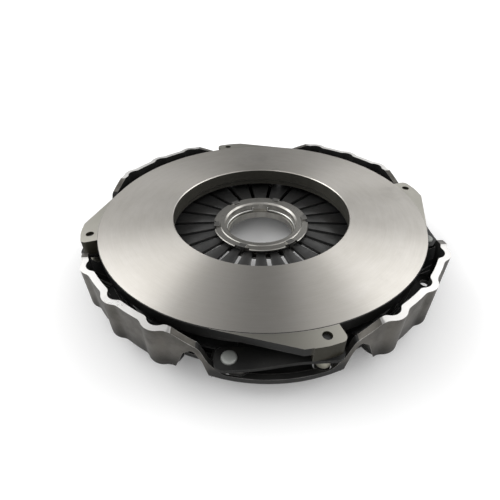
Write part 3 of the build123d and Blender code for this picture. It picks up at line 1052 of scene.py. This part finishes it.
def blank(outline: Iterable[Spot], thick: float, cuts: Iterable[tuple[Vector, Vector]]) -> bpy.types.Mesh:
    """Cut a flat blank from sheet, with extra lines across it where it will bend.

    Args:
        outline: its corners, counter-clockwise, in metres.
        thick: its thickness; its underside lies on z = 0.
        cuts: point and direction of each plane that divides its faces.

    Returns:
        The closed mesh.
    """
    shape = bmesh.new()
    face = shape.faces.new([shape.verts.new((x, y, 0.0)) for x, y in outline])
    face.normal_update()
    for point, along in cuts:
        divide(shape, point, along, 0.001 * MM)
    grown = bmesh.ops.extrude_face_region(shape, geom=shape.faces[:], use_keep_orig=True)
    for vert in (v for v in grown["geom"] if isinstance(v, bmesh.types.BMVert)):
        vert.co.z += thick
    return mesh_of(shape, "blank")


def soften(mesh: bpy.types.Mesh, width: float, stays: Callable[[Vector], bool]) -> None:
    """Round a flat blank's long edges.

    Args:
        mesh: the blank.
        width: width of the rounding in metres.
        stays: tells from an edge's middle whether it stays sharp.
    """
    shape = bmesh.new()
    shape.from_mesh(mesh)
    edges = []
    for edge in shape.edges:
        low, high = (vert.co for vert in edge.verts)
        level = abs(low.z - high.z) < 0.001 * MM
        if level and edge.calc_face_angle(0.0) > 1.0 and not stays((low + high) / 2):
            edges.append(edge)
    bmesh.ops.bevel(
        shape, geom=edges, offset=width, segments=2, profile=0.5, affect="EDGES", clamp_overlap=True
    )
    shape.to_mesh(mesh)
    shape.free()


# ---------------------------------------------------------------- geometry nodes
@dataclass
class Recipe:
    """A Geometry Nodes tree with named inputs, run on a mesh to make one plain piece.

    Attributes:
        name: the tree's name.
        sizes: name and usual value of each number that it takes.
        counts: name and usual value of each whole number that it takes.
    """

    name: str
    sizes: dict[str, float]
    counts: dict[str, int] = field(default_factory=dict)
    graph: Graph = field(init=False)

    def __post_init__(self) -> None:
        """Make the tree with its inputs and its output."""
        tree = bpy.data.node_groups.new(self.name, "GeometryNodeTree")
        tree.is_modifier = True
        face = tree.interface
        face.new_socket(name="Geometry", in_out="INPUT", socket_type="NodeSocketGeometry")
        take_numbers(tree, self.sizes)
        take_numbers(tree, self.counts, "NodeSocketInt")
        face.new_socket(name="Material", in_out="INPUT", socket_type="NodeSocketMaterial")
        face.new_socket(name="Geometry", in_out="OUTPUT", socket_type="NodeSocketGeometry")
        self.graph = Graph(tree)
        self.given = self.graph.add("NodeGroupInput").outputs
        self.out = self.graph.add("NodeGroupOutput").inputs
        self.finish(self.steps())

    def steps(self) -> Socket:
        """Add the tree's own nodes and return the geometry that they make."""
        raise NotImplementedError

    def finish(self, geometry: Socket) -> None:
        """End the tree in real geometry with one material.

        Args:
            geometry: what the tree made.
        """
        real = self.graph.add("GeometryNodeRealizeInstances")
        painted = self.graph.add("GeometryNodeSetMaterial")
        self.graph.feed(real.inputs[0], geometry)
        self.graph.feed(painted.inputs["Geometry"], real.outputs[0])
        self.graph.feed(painted.inputs["Material"], self.given["Material"])
        self.graph.feed(self.out["Geometry"], painted.outputs[0])

    def shift(self, geometry: Socket, height: object, turn: object) -> Socket:
        """Raise geometry by a height and turn it about the shaft axis, in degrees.

        Args:
            geometry: what to move.
            height: how far up, in metres.
            turn: the angle.

        Returns:
            The moved geometry.
        """
        node = self.graph.add("GeometryNodeTransform")
        self.graph.feed(node.inputs["Geometry"], geometry)
        self.graph.feed(node.inputs["Translation"], self.graph.join(0.0, 0.0, height))
        spin = self.graph.join(0.0, 0.0, self.graph.calc("RADIANS", turn))
        self.graph.feed(node.inputs["Rotation"], spin)
        return node.outputs[0]

    def lift(self, geometry: Socket, height: Socket) -> Socket:
        """Move every point of geometry up by its own height.

        Args:
            geometry: what to move.
            height: how far up, in metres, for each point.

        Returns:
            The moved geometry.
        """
        node = self.graph.add("GeometryNodeSetPosition")
        self.graph.feed(node.inputs["Geometry"], geometry)
        self.graph.feed(node.inputs["Offset"], self.graph.join(0.0, 0.0, height))
        return node.outputs[0]

    def run(self, name: str, mesh: bpy.types.Mesh, material: bpy.types.Material, **values: float) -> Piece:
        """Run the tree on a mesh.

        Args:
            name: the new piece's name.
            mesh: what the tree starts from.
            material: the piece's material.
            values: the inputs, with _ for a space in a name.

        Returns:
            The piece, as a plain mesh.
        """
        piece = new_piece(name, mesh, material)
        modifier = piece.modifiers.new(self.name, "NODES")
        modifier.node_group = self.graph.tree
        named = {key.replace("_", " "): value for key, value in values.items()}
        for item in self.graph.tree.interface.items_tree:
            if item.item_type == "SOCKET" and item.in_out == "INPUT":
                if item.name in named:
                    modifier[item.identifier] = named[item.name]
                elif item.name == "Material":
                    modifier[item.identifier] = material
        bake(piece)
        piece.data.name = name
        settle(piece.data)
        return piece


class AroundShaft(Recipe):
    """Copies a fastener evenly round the shaft axis."""

    def __init__(self) -> None:
        """Make the tree."""
        super().__init__("around_shaft", {"First Turn": 0.0}, {"Count": 4})

    def steps(self) -> Socket:
        """Place one copy for each point, each turned further.

        Returns:
            The copies.
        """
        graph = self.graph
        points = graph.add("GeometryNodePoints")
        graph.feed(points.inputs["Count"], self.given["Count"])
        copies = graph.add("GeometryNodeInstanceOnPoints")
        graph.feed(copies.inputs["Points"], points.outputs[0])
        graph.feed(copies.inputs["Instance"], self.given["Geometry"])
        step = graph.calc("DIVIDE", 360.0, self.given["Count"])
        index = graph.add("GeometryNodeInputIndex").outputs[0]
        turn = graph.plus(self.given["First Turn"], graph.times(index, step))
        turned_by = graph.add("FunctionNodeEulerToRotation")
        graph.feed(turned_by.inputs[0], graph.join(0.0, 0.0, graph.calc("RADIANS", turn)))
        graph.feed(copies.inputs["Rotation"], turned_by.outputs[0])
        return copies.outputs[0]


class ConedFinger(Recipe):
    """Sets a flat finger blank into the spring's cone and turns it to its place."""

    def __init__(self) -> None:
        """Make the tree."""
        sizes = {"Tip Radius": 0.06, "Tip Height": 0.0374, "Fall": 0.13, "Turn": 0.0}
        super().__init__("coned_finger", sizes)

    def steps(self) -> Socket:
        """Lift each point by the cone's height at its radius.

        Returns:
            The coned and turned finger.
        """
        graph = self.graph
        x, y, _ = graph.split(graph.add("GeometryNodeInputPosition").outputs[0])
        radius = graph.vector("LENGTH", graph.join(x, y, 0.0))
        beyond_tip = graph.minus(radius, self.given["Tip Radius"])
        fall = graph.times(beyond_tip, self.given["Fall"])
        coned = self.lift(self.given["Geometry"], graph.minus(self.given["Tip Height"], fall))
        return self.shift(coned, 0.0, self.given["Turn"])


class BentLeaf(Recipe):
    """Bends a flat strap blank down to its rivet and turns it to its quarter."""

    def __init__(self) -> None:
        """Make the tree."""
        sizes = {"Low": 0.0378, "High": 0.0458, "Half Bend": 0.032, "Turn": 0.0}
        super().__init__("bent_leaf", sizes)

    def steps(self) -> Socket:
        """Lift each point by an S curve along the strap.

        Returns:
            The bent and turned leaf.
        """
        graph = self.graph
        _, y, _ = graph.split(graph.add("GeometryNodeInputPosition").outputs[0])
        share = graph.ease(y, graph.times(self.given["Half Bend"], -1.0), self.given["Half Bend"])
        rise = graph.times(share, graph.minus(self.given["High"], self.given["Low"]))
        bent = self.lift(self.given["Geometry"], graph.plus(self.given["Low"], rise))
        return self.shift(bent, 0.0, self.given["Turn"])


class WireLoop(Recipe):
    """Bends round wire into an open loop about the shaft axis and adds its end pegs."""

    def __init__(self) -> None:
        """Make the tree."""
        sizes = {"Radius": 0.2, "Wire": 0.0024, "Height": 0.0, "Start": 0.0, "Sweep": 358.0}
        super().__init__("wire_loop", sizes, {"Sides": 180, "Section Sides": 14})

    def steps(self) -> Socket:
        """Sweep a circle along the arc and join the given pegs to it.

        Returns:
            The wire with its pegs.
        """
        graph = self.graph
        arc = graph.add("GeometryNodeCurveArc", mode="RADIUS")
        graph.feed(arc.inputs["Resolution"], self.given["Sides"])
        graph.feed(arc.inputs["Radius"], self.given["Radius"])
        graph.feed(arc.inputs["Start Angle"], graph.calc("RADIANS", self.given["Start"]))
        graph.feed(arc.inputs["Sweep Angle"], graph.calc("RADIANS", self.given["Sweep"]))
        section = graph.add("GeometryNodeCurvePrimitiveCircle", mode="RADIUS")
        graph.feed(section.inputs["Resolution"], self.given["Section Sides"])
        graph.feed(section.inputs["Radius"], self.given["Wire"])
        wire = graph.add("GeometryNodeCurveToMesh")
        graph.feed(wire.inputs["Curve"], arc.outputs[0])
        graph.feed(wire.inputs["Profile Curve"], section.outputs[0])
        wire.inputs["Fill Caps"].default_value = True
        joined = graph.add("GeometryNodeJoinGeometry")
        graph.feed(joined.inputs[0], self.shift(wire.outputs[0], self.given["Height"], 0.0))
        graph.tree.links.new(self.given["Geometry"], joined.inputs[0])
        return joined.outputs[0]


# ---------------------------------------------------------------- workshop
class Body(Enum):
    """The bodies that move."""

    COVER = "cover"
    PLATE = "plate"
    RELEASE = "release"


@dataclass
class Bench:
    """What every sub-assembly is made with: shared effects, recipes and materials."""

    effects: Effects = field(default_factory=Effects)
    around: AroundShaft = field(default_factory=AroundShaft)
    coned: ConedFinger = field(default_factory=ConedFinger)
    bent: BentLeaf = field(default_factory=BentLeaf)
    loop: WireLoop = field(default_factory=WireLoop)
    materials: dict[str, bpy.types.Material] = field(default_factory=dict)

    def material(self, finish: Finish) -> bpy.types.Material:
        """Return a finish's material, built the first time it is asked for."""
        if finish.name not in self.materials:
            self.materials[finish.name] = finish.material(self.effects)
        return self.materials[finish.name]

    def fit(self, piece: Piece, body: Body, slot: str) -> Piece:
        """Let a piece ride on a body and report its size."""
        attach(piece, body.value)
        return self.report(piece, slot)

    @staticmethod
    def report(piece: Piece, slot: str) -> Piece:
        """Log a piece's size.

        Args:
            piece: the piece.
            slot: not used.

        Returns:
            The piece.
        """
        LOG.info("%s: %d faces", piece.name, len(piece.data.polygons))
        return piece


def polar(radius: float, turn: float) -> Spot:
    """Return the point at a radius and an angle in degrees."""
    return radius * math.cos(math.radians(turn)), radius * math.sin(math.radians(turn))


# ---------------------------------------------------------------- castings
@dataclass
class NotchWalls:
    """The sloped wall inside each notch under the rim's ramps, two for every strap window.

    Attributes:
        arch: outline of the notch, as distance from the window's middle and height in mm.
        rim: radius that the wall starts from, just inside the rim.
        inner_edge: radius where it ends inside.
        foot: height of its lower edge.
        slope: its rise for each mm outwards.
        thick: its thickness.
        steps: sections between two points of the outline.
    """

    arch: tuple[Spot, ...] = (
        (63.5, 19.4), (70.4, 43.4), (78.2, 59.2), (89.4, 50.0), (102.0, 19.4),
    )
    rim: float = 234.2
    inner_edge: float = 214.0
    foot: float = 19.2
    slope: float = 0.92
    thick: float = 3.0
    steps: int = 4

    def stations(self) -> list[Spot]:
        """Return the outline in short steps.

        Returns:
            Points as distance from the window's middle and height in mm.
        """
        spots = []
        for (x, z), (after_x, after_z) in zip(self.arch, self.arch[1:]):
            shares = (step / self.steps for step in range(self.steps))
            spots += [(x + (after_x - x) * share, z + (after_z - z) * share) for share in shares]
        return spots + [self.arch[-1]]

    def section(self, x: float, apex: float) -> list[Spot]:
        """Return the wall's section at one distance from the window's middle.

        Args:
            x: distance from the window's middle in mm.
            apex: height of the notch's top there in mm.

        Returns:
            Five points, each as distance outwards and height in mm.
        """
        top = math.sqrt(self.rim**2 - x**2)
        edge = math.sqrt(self.inner_edge**2 - x**2)
        low = max(self.foot, apex - self.slope * (top - edge))
        foot = top - (apex - low) / self.slope
        back = self.thick * math.hypot(1, self.slope)
        inner = edge - self.thick / 2
        inside = min(low + back, apex)
        return [(inner, self.foot), (foot, self.foot), (foot, low), (top, apex), (inner, inside)]

    def build(self, bench: Bench) -> None:
        """Make the eight walls as one piece of the cover.

        Args:
            bench: the shared effects, recipes and materials.
        """
        shape = bmesh.new()
        for quarter in range(4):
            spin = Matrix.Rotation(math.radians(90 * quarter), 3, "Z")
            for side in (-1, 1):
                rows = []
                for x, apex in self.stations():
                    points = (spin @ Vector((out, side * x, up)) * MM for out, up in self.section(x, apex))
                    rows.append([shape.verts.new(point) for point in points])
                for row, after in zip(rows, rows[1:]):
                    for i in range(len(row)):
                        j = (i + 1) % len(row)
                        shape.faces.new((row[i], row[j], after[j], after[i]))
                shape.faces.new(rows[0])
                shape.faces.new(rows[-1])
        mesh = mesh_of(shape, "notch_walls")
        settle(mesh)
        bench.fit(new_piece("notch_walls", mesh, bench.material(COVER_FINISH)), Body.COVER, "cover_iron")


@dataclass
class Castings:
    """The cast cover and the pressure plate, with softened corners.

    Attributes:
        cover_round: width of the cover's roundings.
        plate_round: width of the plate's roundings.
        notches: the walls inside the cover's notches.
    """

    cover_round: float = 0.7 * MM
    plate_round: float = 0.5 * MM
    notches: NotchWalls = field(default_factory=NotchWalls)

    def build(self, bench: Bench) -> None:
        """Copy both castings with rounded corners and dress them.

        Args:
            bench: the shared effects, recipes and materials.
        """
        iron = bench.material(COVER_FINISH)
        cover = rounded_copy("cover", "cover_casting", self.cover_round, iron)
        bench.fit(cover, Body.COVER, "cover_iron")
        self.notches.build(bench)
        ground = bench.material(PLATE_FINISH)
        plate = rounded_copy("pressure_plate", "plate_casting", self.plate_round, ground)
        bench.fit(plate, Body.PLATE, "plate_iron")


@dataclass
class DiaphragmSpring:
    """The coned spring: a ring with fingers, each a sector set into the cone.

    Attributes:
        fingers: how many fingers.
        tip_radius: radius of the finger tips.
        outer_radius: radius of the outer edge.
        thick: thickness of the steel.
        tip_top: height of the tips' upper side.
        fall: drop of the cone for each metre outwards.
        slot_half: half the width of the slot between two fingers.
        keyhole_at: radius where each slot ends in a round hole.
        keyhole_radius: radius of that hole.
        first_slot: angle of the first slot in degrees.
        keyhole_steps: steps round the hole's side of one finger.
        rim_steps: steps of half the outer edge.
        tip_steps: steps of half the tip.
        rounding: width of the free edges' rounding.
        bend_from: radius where the bend starts, on the cover; not used.
        bend_to: radius where it ends, on the release ring; not used.
        bend_height: height of both; not used.
    """

    fingers: int = 24
    tip_radius: float = 60 * MM
    outer_radius: float = 205 * MM
    thick: float = 5 * MM
    tip_top: float = 42.4 * MM
    fall: float = 0.13
    slot_half: float = 2.9 * MM
    keyhole_at: float = 148 * MM
    keyhole_radius: float = 6 * MM
    first_slot: float = 4.0
    keyhole_steps: int = 8
    rim_steps: int = 6
    tip_steps: int = 3
    rounding: float = 0.6 * MM
    bend_from: float = 218 * MM
    bend_to: float = 56 * MM
    bend_height: float = 30 * MM

    def half_turn(self) -> float:
        """Return half of one finger's share of the turn, in degrees."""
        return 180.0 / self.fingers

    def side(self) -> list[Spot]:
        """Return the clockwise side of a finger, from its tip to the outer edge.

        Returns:
            Points in metres.
        """
        half = math.radians(self.half_turn())
        along = Vector((math.cos(half), -math.sin(half)))
        across = Vector((math.sin(half), math.cos(half)))
        tip = math.sqrt(self.tip_radius**2 - self.slot_half**2)
        points = [along * tip + across * self.slot_half]
        first = math.pi - math.asin(self.slot_half / self.keyhole_radius)
        for step in range(self.keyhole_steps + 1):
            turn = first * (1 - step / self.keyhole_steps)
            round_it = along * math.cos(turn) + across * math.sin(turn)
            points.append(along * self.keyhole_at + round_it * self.keyhole_radius)
        points.append(along * self.outer_radius)
        return [(p.x, p.y) for p in points]

    def outline(self) -> list[Spot]:
        """Return a finger's outline, counter-clockwise, lying along the x axis.

        Returns:
            Points in metres.
        """
        side = self.side()
        half = self.half_turn()
        steps = self.rim_steps
        rim = [polar(self.outer_radius, half * (step / steps - 1)) for step in range(1, 2 * steps)]
        other = [(x, -y) for x, y in reversed(side)]
        edge = math.degrees(math.asin(self.slot_half / self.tip_radius))
        steps = self.tip_steps
        tip = [polar(self.tip_radius, (half - edge) * (1 - step / steps)) for step in range(1, 2 * steps)]
        return side + rim + other + tip

    def finger(self) -> bpy.types.Mesh:
        """Return one flat finger, divided where it bends and rounded along its free edges.

        Returns:
            The blank, before it is coned and turned to its place.
        """
        along = Vector((1, 0, 0))
        cuts = [(along * (x * MM), along) for x in range(70, 201, 10)]
        flat = blank(self.outline(), self.thick, cuts)
        lean = math.tan(math.radians(self.half_turn()))
        soften(flat, self.rounding, lambda middle: abs(abs(middle.y) - lean * middle.x) < 0.02 * MM)
        return flat

    def build(self, bench: Bench) -> None:
        """Make every finger, set into the cone between the cover and the release ring and turned to its
        place.

        Args:
            bench: the shared effects, recipes and materials.
        """
        flat = self.finger()
        material = bench.material(SPRING_FINISH)
        for number in range(self.fingers):
            turn = self.first_slot + (2 * number + 1) * self.half_turn()
            piece = bench.coned.run(
                f"spring_finger_{number + 1:02d}",
                flat.copy(),
                material,
                Tip_Radius=self.tip_radius,
                Tip_Height=self.tip_top - self.thick,
                Fall=self.fall,
                Turn=turn,
            )
            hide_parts("diaphragm_spring")
            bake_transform(piece)
            bench.report(piece, "spring_steel")


@dataclass
class Straps:
    """The four leaf straps with their rivets, sleeves and bolts.

    Attributes:
        bolt_radius: radius of the rivets' and bolts' axes.
        turn: angle of each from the strap's middle in degrees.
        wide: width of a leaf.
        beyond_rivet: length of a leaf beyond its rivet.
        beyond_bolt: length of a leaf beyond its bolt.
        corner: radius of a leaf's corners.
        leaf: thickness of a leaf.
        low: height of the lowest leaf's underside at the rivet.
        high: its height at the bolt.
        half_bend: half the length of the S bend.
        bend_radius: radius of the line along which the leaves follow the plate; not used.
        bend_height: height of that line; not used.
        rounding: width of the leaves' edge rounding.
        places: where each strap sits, from the x axis on.
        leaves: leaves in a strap.
    """

    bolt_radius: float = 225 * MM
    turn: float = 11.7
    wide: float = 27 * MM
    beyond_rivet: float = 15 * MM
    beyond_bolt: float = 18.4 * MM
    corner: float = 10 * MM
    leaf: float = 1.4 * MM
    low: float = 37.8 * MM
    high: float = 45.8 * MM
    half_bend: float = 31 * MM
    bend_radius: float = 220 * MM
    bend_height: float = 42 * MM
    rounding: float = 0.35 * MM
    places: tuple[str, ...] = ("right", "rear", "left", "front")
    leaves: int = 3

    def outline(self) -> list[Spot]:
        """Return a leaf's outline, counter-clockwise, lying along y at its own radius.

        Returns:
            Points in metres.
        """
        middle, reach = polar(self.bolt_radius, self.turn)
        low, high = -reach - self.beyond_rivet, reach + self.beyond_bolt
        points = []
        for x, y, first in (
            (self.wide / 2, low, -90),
            (self.wide / 2, high, 0),
            (-self.wide / 2, high, 90),
            (-self.wide / 2, low, 180),
        ):
            centre_x = middle + math.copysign(abs(x) - self.corner, x)
            centre_y = y - math.copysign(self.corner, y)
            for step in range(7):
                dx, dy = polar(self.corner, first + step * 15)
                points.append((centre_x + dx, centre_y + dy))
        return points

    def rivet(self) -> bpy.types.Mesh:
        """Return one rivet with a shop head below and a domed head above."""
        sizes = [
            (5.6, 27.1), (7.2, 27.3), (7.85, 27.9), (8.0, 28.8), (8.0, 30.6), (5.0, 30.6), (5.0, 42.0),
            (8.0, 42.0), (8.0, 43.1), (7.8, 43.9), (7.3, 44.5), (6.5, 44.95), (5.3, 45.2), (3.8, 45.35),
            (2.2, 45.45), (0.8, 45.5),
        ]
        return turned(levels_of(sizes), polar(self.bolt_radius, -self.turn), 40)

    def sleeve(self) -> bpy.types.Mesh:
        """Return one spacer sleeve with a narrower neck."""
        sizes = [
            (5.1, 28.8), (7.4, 28.8), (8.0, 29.4), (8.0, 38.7), (7.4, 39.3), (6.9, 39.4), (6.6, 39.8),
            (6.6, 45.4), (6.2, 45.8), (5.1, 45.8),
        ]
        return turned(levels_of(sizes), polar(self.bolt_radius, self.turn), 40, tube=True)

    def bolt(self) -> bpy.types.Mesh:
        """Return one socket head bolt with a knurled head."""
        levels = [Level(4 * MM, 23.8 * MM, Outline.HEX), Level(4 * MM, 19.2 * MM, Outline.HEX)]
        levels += levels_of([(4.5, 18.8), (7.0, 18.8), (7.6, 19.1)])
        levels += [Level(8 * MM, 19.8 * MM, Outline.KNURLED), Level(8 * MM, 27.6 * MM, Outline.KNURLED)]
        levels += levels_of([(7.7, 28.3), (7.3, 28.8), (4.85, 28.8), (4.85, 65.2), (4.2, 66.0)])
        return turned(levels, polar(self.bolt_radius, self.turn), 72)

    def build(self, bench: Bench) -> None:
        """Make the leaves and the three sets of fasteners.

        Args:
            bench: the shared effects, recipes and materials.
        """
        along = Vector((0, 1, 0))
        flat = blank(self.outline(), self.leaf, [(along * (y * MM), along) for y in range(-36, 37, 4)])
        soften(flat, self.rounding, lambda middle: False)
        for quarter, place in enumerate(self.places):
            for layer in range(self.leaves):
                piece = bench.bent.run(
                    f"{place}_leaf_{layer + 1}",
                    flat.copy(),
                    bench.material(STRAP_FINISH),
                    Low=self.low + layer * self.leaf,
                    High=self.high + layer * self.leaf,
                    Half_Bend=self.half_bend,
                    Turn=90.0 * quarter,
                )
                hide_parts(f"strap_{place}_leaf_{layer + 1}")
                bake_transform(piece)
                bench.report(piece, "strap_steel")
        for name, node, mesh, finish, body, slot in (
            ("rivet_set", "strap_rivets", self.rivet(), RIVET_FINISH, Body.COVER, "rivet_steel"),
            ("sleeve_set", "strap_sleeves", self.sleeve(), ZINC_FINISH, Body.PLATE, "zinc_steel"),
            ("bolt_set", "strap_bolts", self.bolt(), BOLT_FINISH, Body.PLATE, "bolt_steel"),
        ):
            piece = bench.around.run(name, mesh, bench.material(finish), Count=4, First_Turn=0.0)
            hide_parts(node)
            bench.fit(piece, body, slot)


@dataclass
class ReleaseRing:
    """The turned release ring with its snap ring, pin and finger retainer.

    Attributes:
        ring_round: width of the ring's roundings.
        retainer_round: width of the retainer's roundings.
        snap_radius: radius of the snap ring's middle line.
        snap_wire: radius of its wire.
        snap_height: height of its middle line.
        gap_turn: angle of its gap's middle in degrees.
        gap: width of its gap in degrees.
        peg_turn: how far from the gap its pegs stand, in degrees.
        peg_inset: how far inside its middle line they stand.
    """

    ring_round: float = 0.5 * MM
    retainer_round: float = 0.4 * MM
    snap_radius: float = 48.6 * MM
    snap_wire: float = 1.6 * MM
    snap_height: float = 38.2 * MM
    gap_turn: float = 87.0
    gap: float = 25.0
    peg_turn: float = 1.5
    peg_inset: float = 1.2 * MM

    def pegs(self) -> bpy.types.Mesh:
        """Return the two upturned ends of the snap ring."""
        shape = bmesh.new()
        levels = levels_of([(0.9, -0.4), (1.3, 0.0), (1.3, 5.4), (0.9, 6.0)], self.snap_height)
        aside = self.gap / 2 + self.peg_turn
        for turn in (self.gap_turn + aside, self.gap_turn - aside):
            shape.from_mesh(turned(levels, polar(self.snap_radius - self.peg_inset, turn), 16))
        return mesh_of(shape, "pegs")

    def build(self, bench: Bench) -> None:
        """Make the ring and what it holds.

        Args:
            bench: the shared effects, recipes and materials.
        """
        for node, name, width, finish, slot in (
            ("release_ring", "ring_body", self.ring_round, RING_FINISH, "ring_steel"),
            ("finger_retainer", "hook_plate", self.retainer_round, RETAINER_FINISH, "retainer_steel"),
        ):
            bench.fit(rounded_copy(node, name, width, bench.material(finish)), Body.RELEASE, slot)
        snap = bench.loop.run(
            "snap_wire",
            self.pegs(),
            bench.material(SNAP_FINISH),
            Radius=self.snap_radius,
            Wire=self.snap_wire,
            Height=self.snap_height,
            Start=self.gap_turn + self.gap / 2,
            Sweep=360.0 - self.gap,
        )
        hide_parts("snap_ring")
        bench.fit(snap, Body.RELEASE, "snap_steel")
        pin = bpy.data.objects["ring_pin"]
        pin.data.materials[0] = bench.material(SNAP_FINISH)


@dataclass
class PivotWire:
    """The wire that the spring tilts on.

    Attributes:
        radius: radius of its middle line.
        wire: radius of the wire.
        height: height of its middle line.
    """

    radius: float = 200 * MM
    wire: float = 2.4 * MM
    height: float = 16.75 * MM

    def build(self, bench: Bench) -> None:
        """Make the open loop of wire.

        Args:
            bench: the shared effects, recipes and materials.
        """
        piece = bench.loop.run(
            "pivot_loop",
            bpy.data.meshes.new("pivot_start"),
            bench.material(WIRE_FINISH),
            Radius=self.radius,
            Wire=self.wire,
            Height=self.height,
            Start=0.0,
            Sweep=358.0,
        )
        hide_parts("pivot_wire")
        bench.fit(piece, Body.COVER, "wire_steel")


# ---------------------------------------------------------------- studio
@dataclass(frozen=True)
class Lamp:
    """A square soft lamp: its name, place in metres, power in watts and width in metres."""

    name: str
    at: tuple[float, float, float]
    watts: float
    size: float = 2.0

    def hang(self) -> None:
        """Hang the lamp so that it points at the object."""
        data = bpy.data.lights.new(self.name, "AREA")
        data.shape = "SQUARE"
        data.size = self.size
        data.energy = self.watts
        lamp = bpy.data.objects.new(self.name, data)
        lamp.location = self.at
        down = Vector((0, 0, 0.04)) - Vector(self.at)
        lamp.rotation_euler = down.to_track_quat("-Z", "Y").to_euler()
        bpy.context.scene.collection.objects.link(lamp)


@dataclass
class Studio:
    """Pale floor, soft lamps, white surroundings and the camera.

    Attributes:
        camera_at: place of the camera in metres.
        camera_turn: its turn in degrees.
        lens: its focal length in mm.
        frame_width: width of its frame in mm.
        floor_half: half the floor's width in metres.
        floor_drop: how far the floor lies under the object in metres.
        floor_colour: its matt colour.
        floor_glow: what the camera sees added to it beside the object.
        far_glow: what the camera sees added to it far away.
        painted_shade_fade: from where to where the first of these sets in, in metres from the shaft; inside
            it the floor gets no glow, which paints shade round and under the object.
        glow_grows: from where to where it passes into the second.
        sky_half_width: from where to where the reflected sky brightens sideways.
        sky_rise: from where to where it darkens upwards.
        sky_low: its level at the horizon, ahead.
        sky_overhead: its level overhead.
        sky_light: level of the light that the surroundings give.
        lamps: the lamps.
    """

    camera_at: tuple[float, float, float] = (-0.03228, -0.42983, 0.33747)
    camera_turn: tuple[float, float, float] = (51.7244, 0.572, -2.6394)
    lens: float = 26.2476
    frame_width: float = 36.0
    floor_half: float = 6.0
    floor_drop: float = 0.5 * MM
    floor_colour: Colour = (0.9, 0.9, 0.9)
    floor_glow: float = 0.32
    far_glow: float = 0.9
    painted_shade_fade: tuple[float, float] = (0.14, 0.34)
    glow_grows: tuple[float, float] = (0.5, 1.6)
    sky_half_width: tuple[float, float] = (0.12, 0.38)
    sky_rise: tuple[float, float] = (0.15, 0.7)
    sky_low: float = 0.72
    sky_overhead: float = 0.13
    sky_light: float = 0.6
    lamps: tuple[Lamp, ...] = (
        Lamp("left", (-1.9, 0.7, 1.5), 26.0),
        Lamp("right", (2.0, 0.5, 1.4), 20.0),
        Lamp("front", (-0.4, -2.0, 1.9), 8.0),
    )

    def world(self) -> None:
        """Make the surroundings: white to the camera and in reflections, dimmer as light."""
        world = bpy.data.worlds.new("studio")
        bpy.context.scene.world = world
        world.use_nodes = True
        world.node_tree.nodes.clear()
        graph = Graph(world.node_tree)
        rays = graph.add("ShaderNodeLightPath").outputs
        x, _, z = graph.split(graph.add("ShaderNodeTexCoord").outputs["Generated"])
        aside = graph.ease(graph.calc("ABSOLUTE", x), *self.sky_half_width)
        middle = graph.between(graph.ease(z, *self.sky_rise), self.sky_low, self.sky_overhead)
        sky = graph.between(aside, middle, 1.0)
        shown = graph.calc("MAXIMUM", rays["Is Camera Ray"], rays["Is Transmission Ray"])
        level = graph.between(rays["Is Glossy Ray"], self.sky_light, sky)
        level = graph.between(shown, level, 1.0)
        light = graph.add("ShaderNodeBackground")
        light.inputs["Color"].default_value = (1, 1, 1, 1)
        graph.feed(light.inputs["Strength"], level)
        graph.feed(graph.add("ShaderNodeOutputWorld").inputs["Surface"], light.outputs[0])

    def floor(self) -> None:
        """Make the floor: matt and pale, near white to the camera, with the shadow kept and with painted
        shade near the shaft axis, where its glow is held back.
        """
        material = bpy.data.materials.new("floor_white")
        material.use_nodes = True
        material.node_tree.nodes.clear()
        graph = Graph(material.node_tree)
        matt = graph.add("ShaderNodeBsdfDiffuse")
        graph.feed(matt.inputs["Color"], self.floor_colour)
        glow = graph.add("ShaderNodeEmission")
        rays = graph.add("ShaderNodeLightPath").outputs
        # Painted shade: the glow is zero near the shaft and rises outwards, so the floor seen under and
        # round the object stays dark.
        away = graph.radius()
        near = graph.between(graph.ease(away, *self.painted_shade_fade), 0.0, self.floor_glow)
        level = graph.between(graph.ease(away, *self.glow_grows), near, self.far_glow)
        graph.feed(glow.inputs["Strength"], graph.times(rays["Is Camera Ray"], level))
        both_ways = graph.add("ShaderNodeAddShader")
        graph.feed(both_ways.inputs[0], matt.outputs[0])
        graph.feed(both_ways.inputs[1], glow.outputs[0])
        graph.feed(graph.add("ShaderNodeOutputMaterial").inputs["Surface"], both_ways.outputs[0])
        half, down = self.floor_half, -self.floor_drop
        square = [(-half, -half, down), (half, -half, down), (half, half, down), (-half, half, down)]
        mesh = bpy.data.meshes.new("floor")
        mesh.from_pydata(square, [], [(0, 1, 2, 3)])
        new_piece("floor", mesh, material)

    def build(self) -> None:
        """Make the whole studio and set the camera."""
        self.world()
        self.floor()
        for lamp in self.lamps:
            lamp.hang()
        data = bpy.data.cameras.new("camera")
        data.lens = self.lens
        data.sensor_width = self.frame_width
        data.clip_start = 10 * MM
        camera = bpy.data.objects.new("camera", data)
        camera.location = self.camera_at
        camera.rotation_euler = [math.radians(a) for a in self.camera_turn]
        bpy.context.scene.collection.objects.link(camera)
        scene = bpy.context.scene
        scene.camera = camera
        scene.view_settings.view_transform = "Standard"


def main() -> None:
    """Load the frame, build every sub-assembly in order and the studio."""
    logging.basicConfig(level=logging.INFO, format="%(name)s: %(message)s")
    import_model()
    bench = Bench()
    for assembly in (Castings(), DiaphragmSpring(), PivotWire(), Straps(), ReleaseRing()):
        LOG.info("building %s", type(assembly).__name__)
        assembly.build(bench)
    Studio().build()


if __name__ == "__main__":
    main()
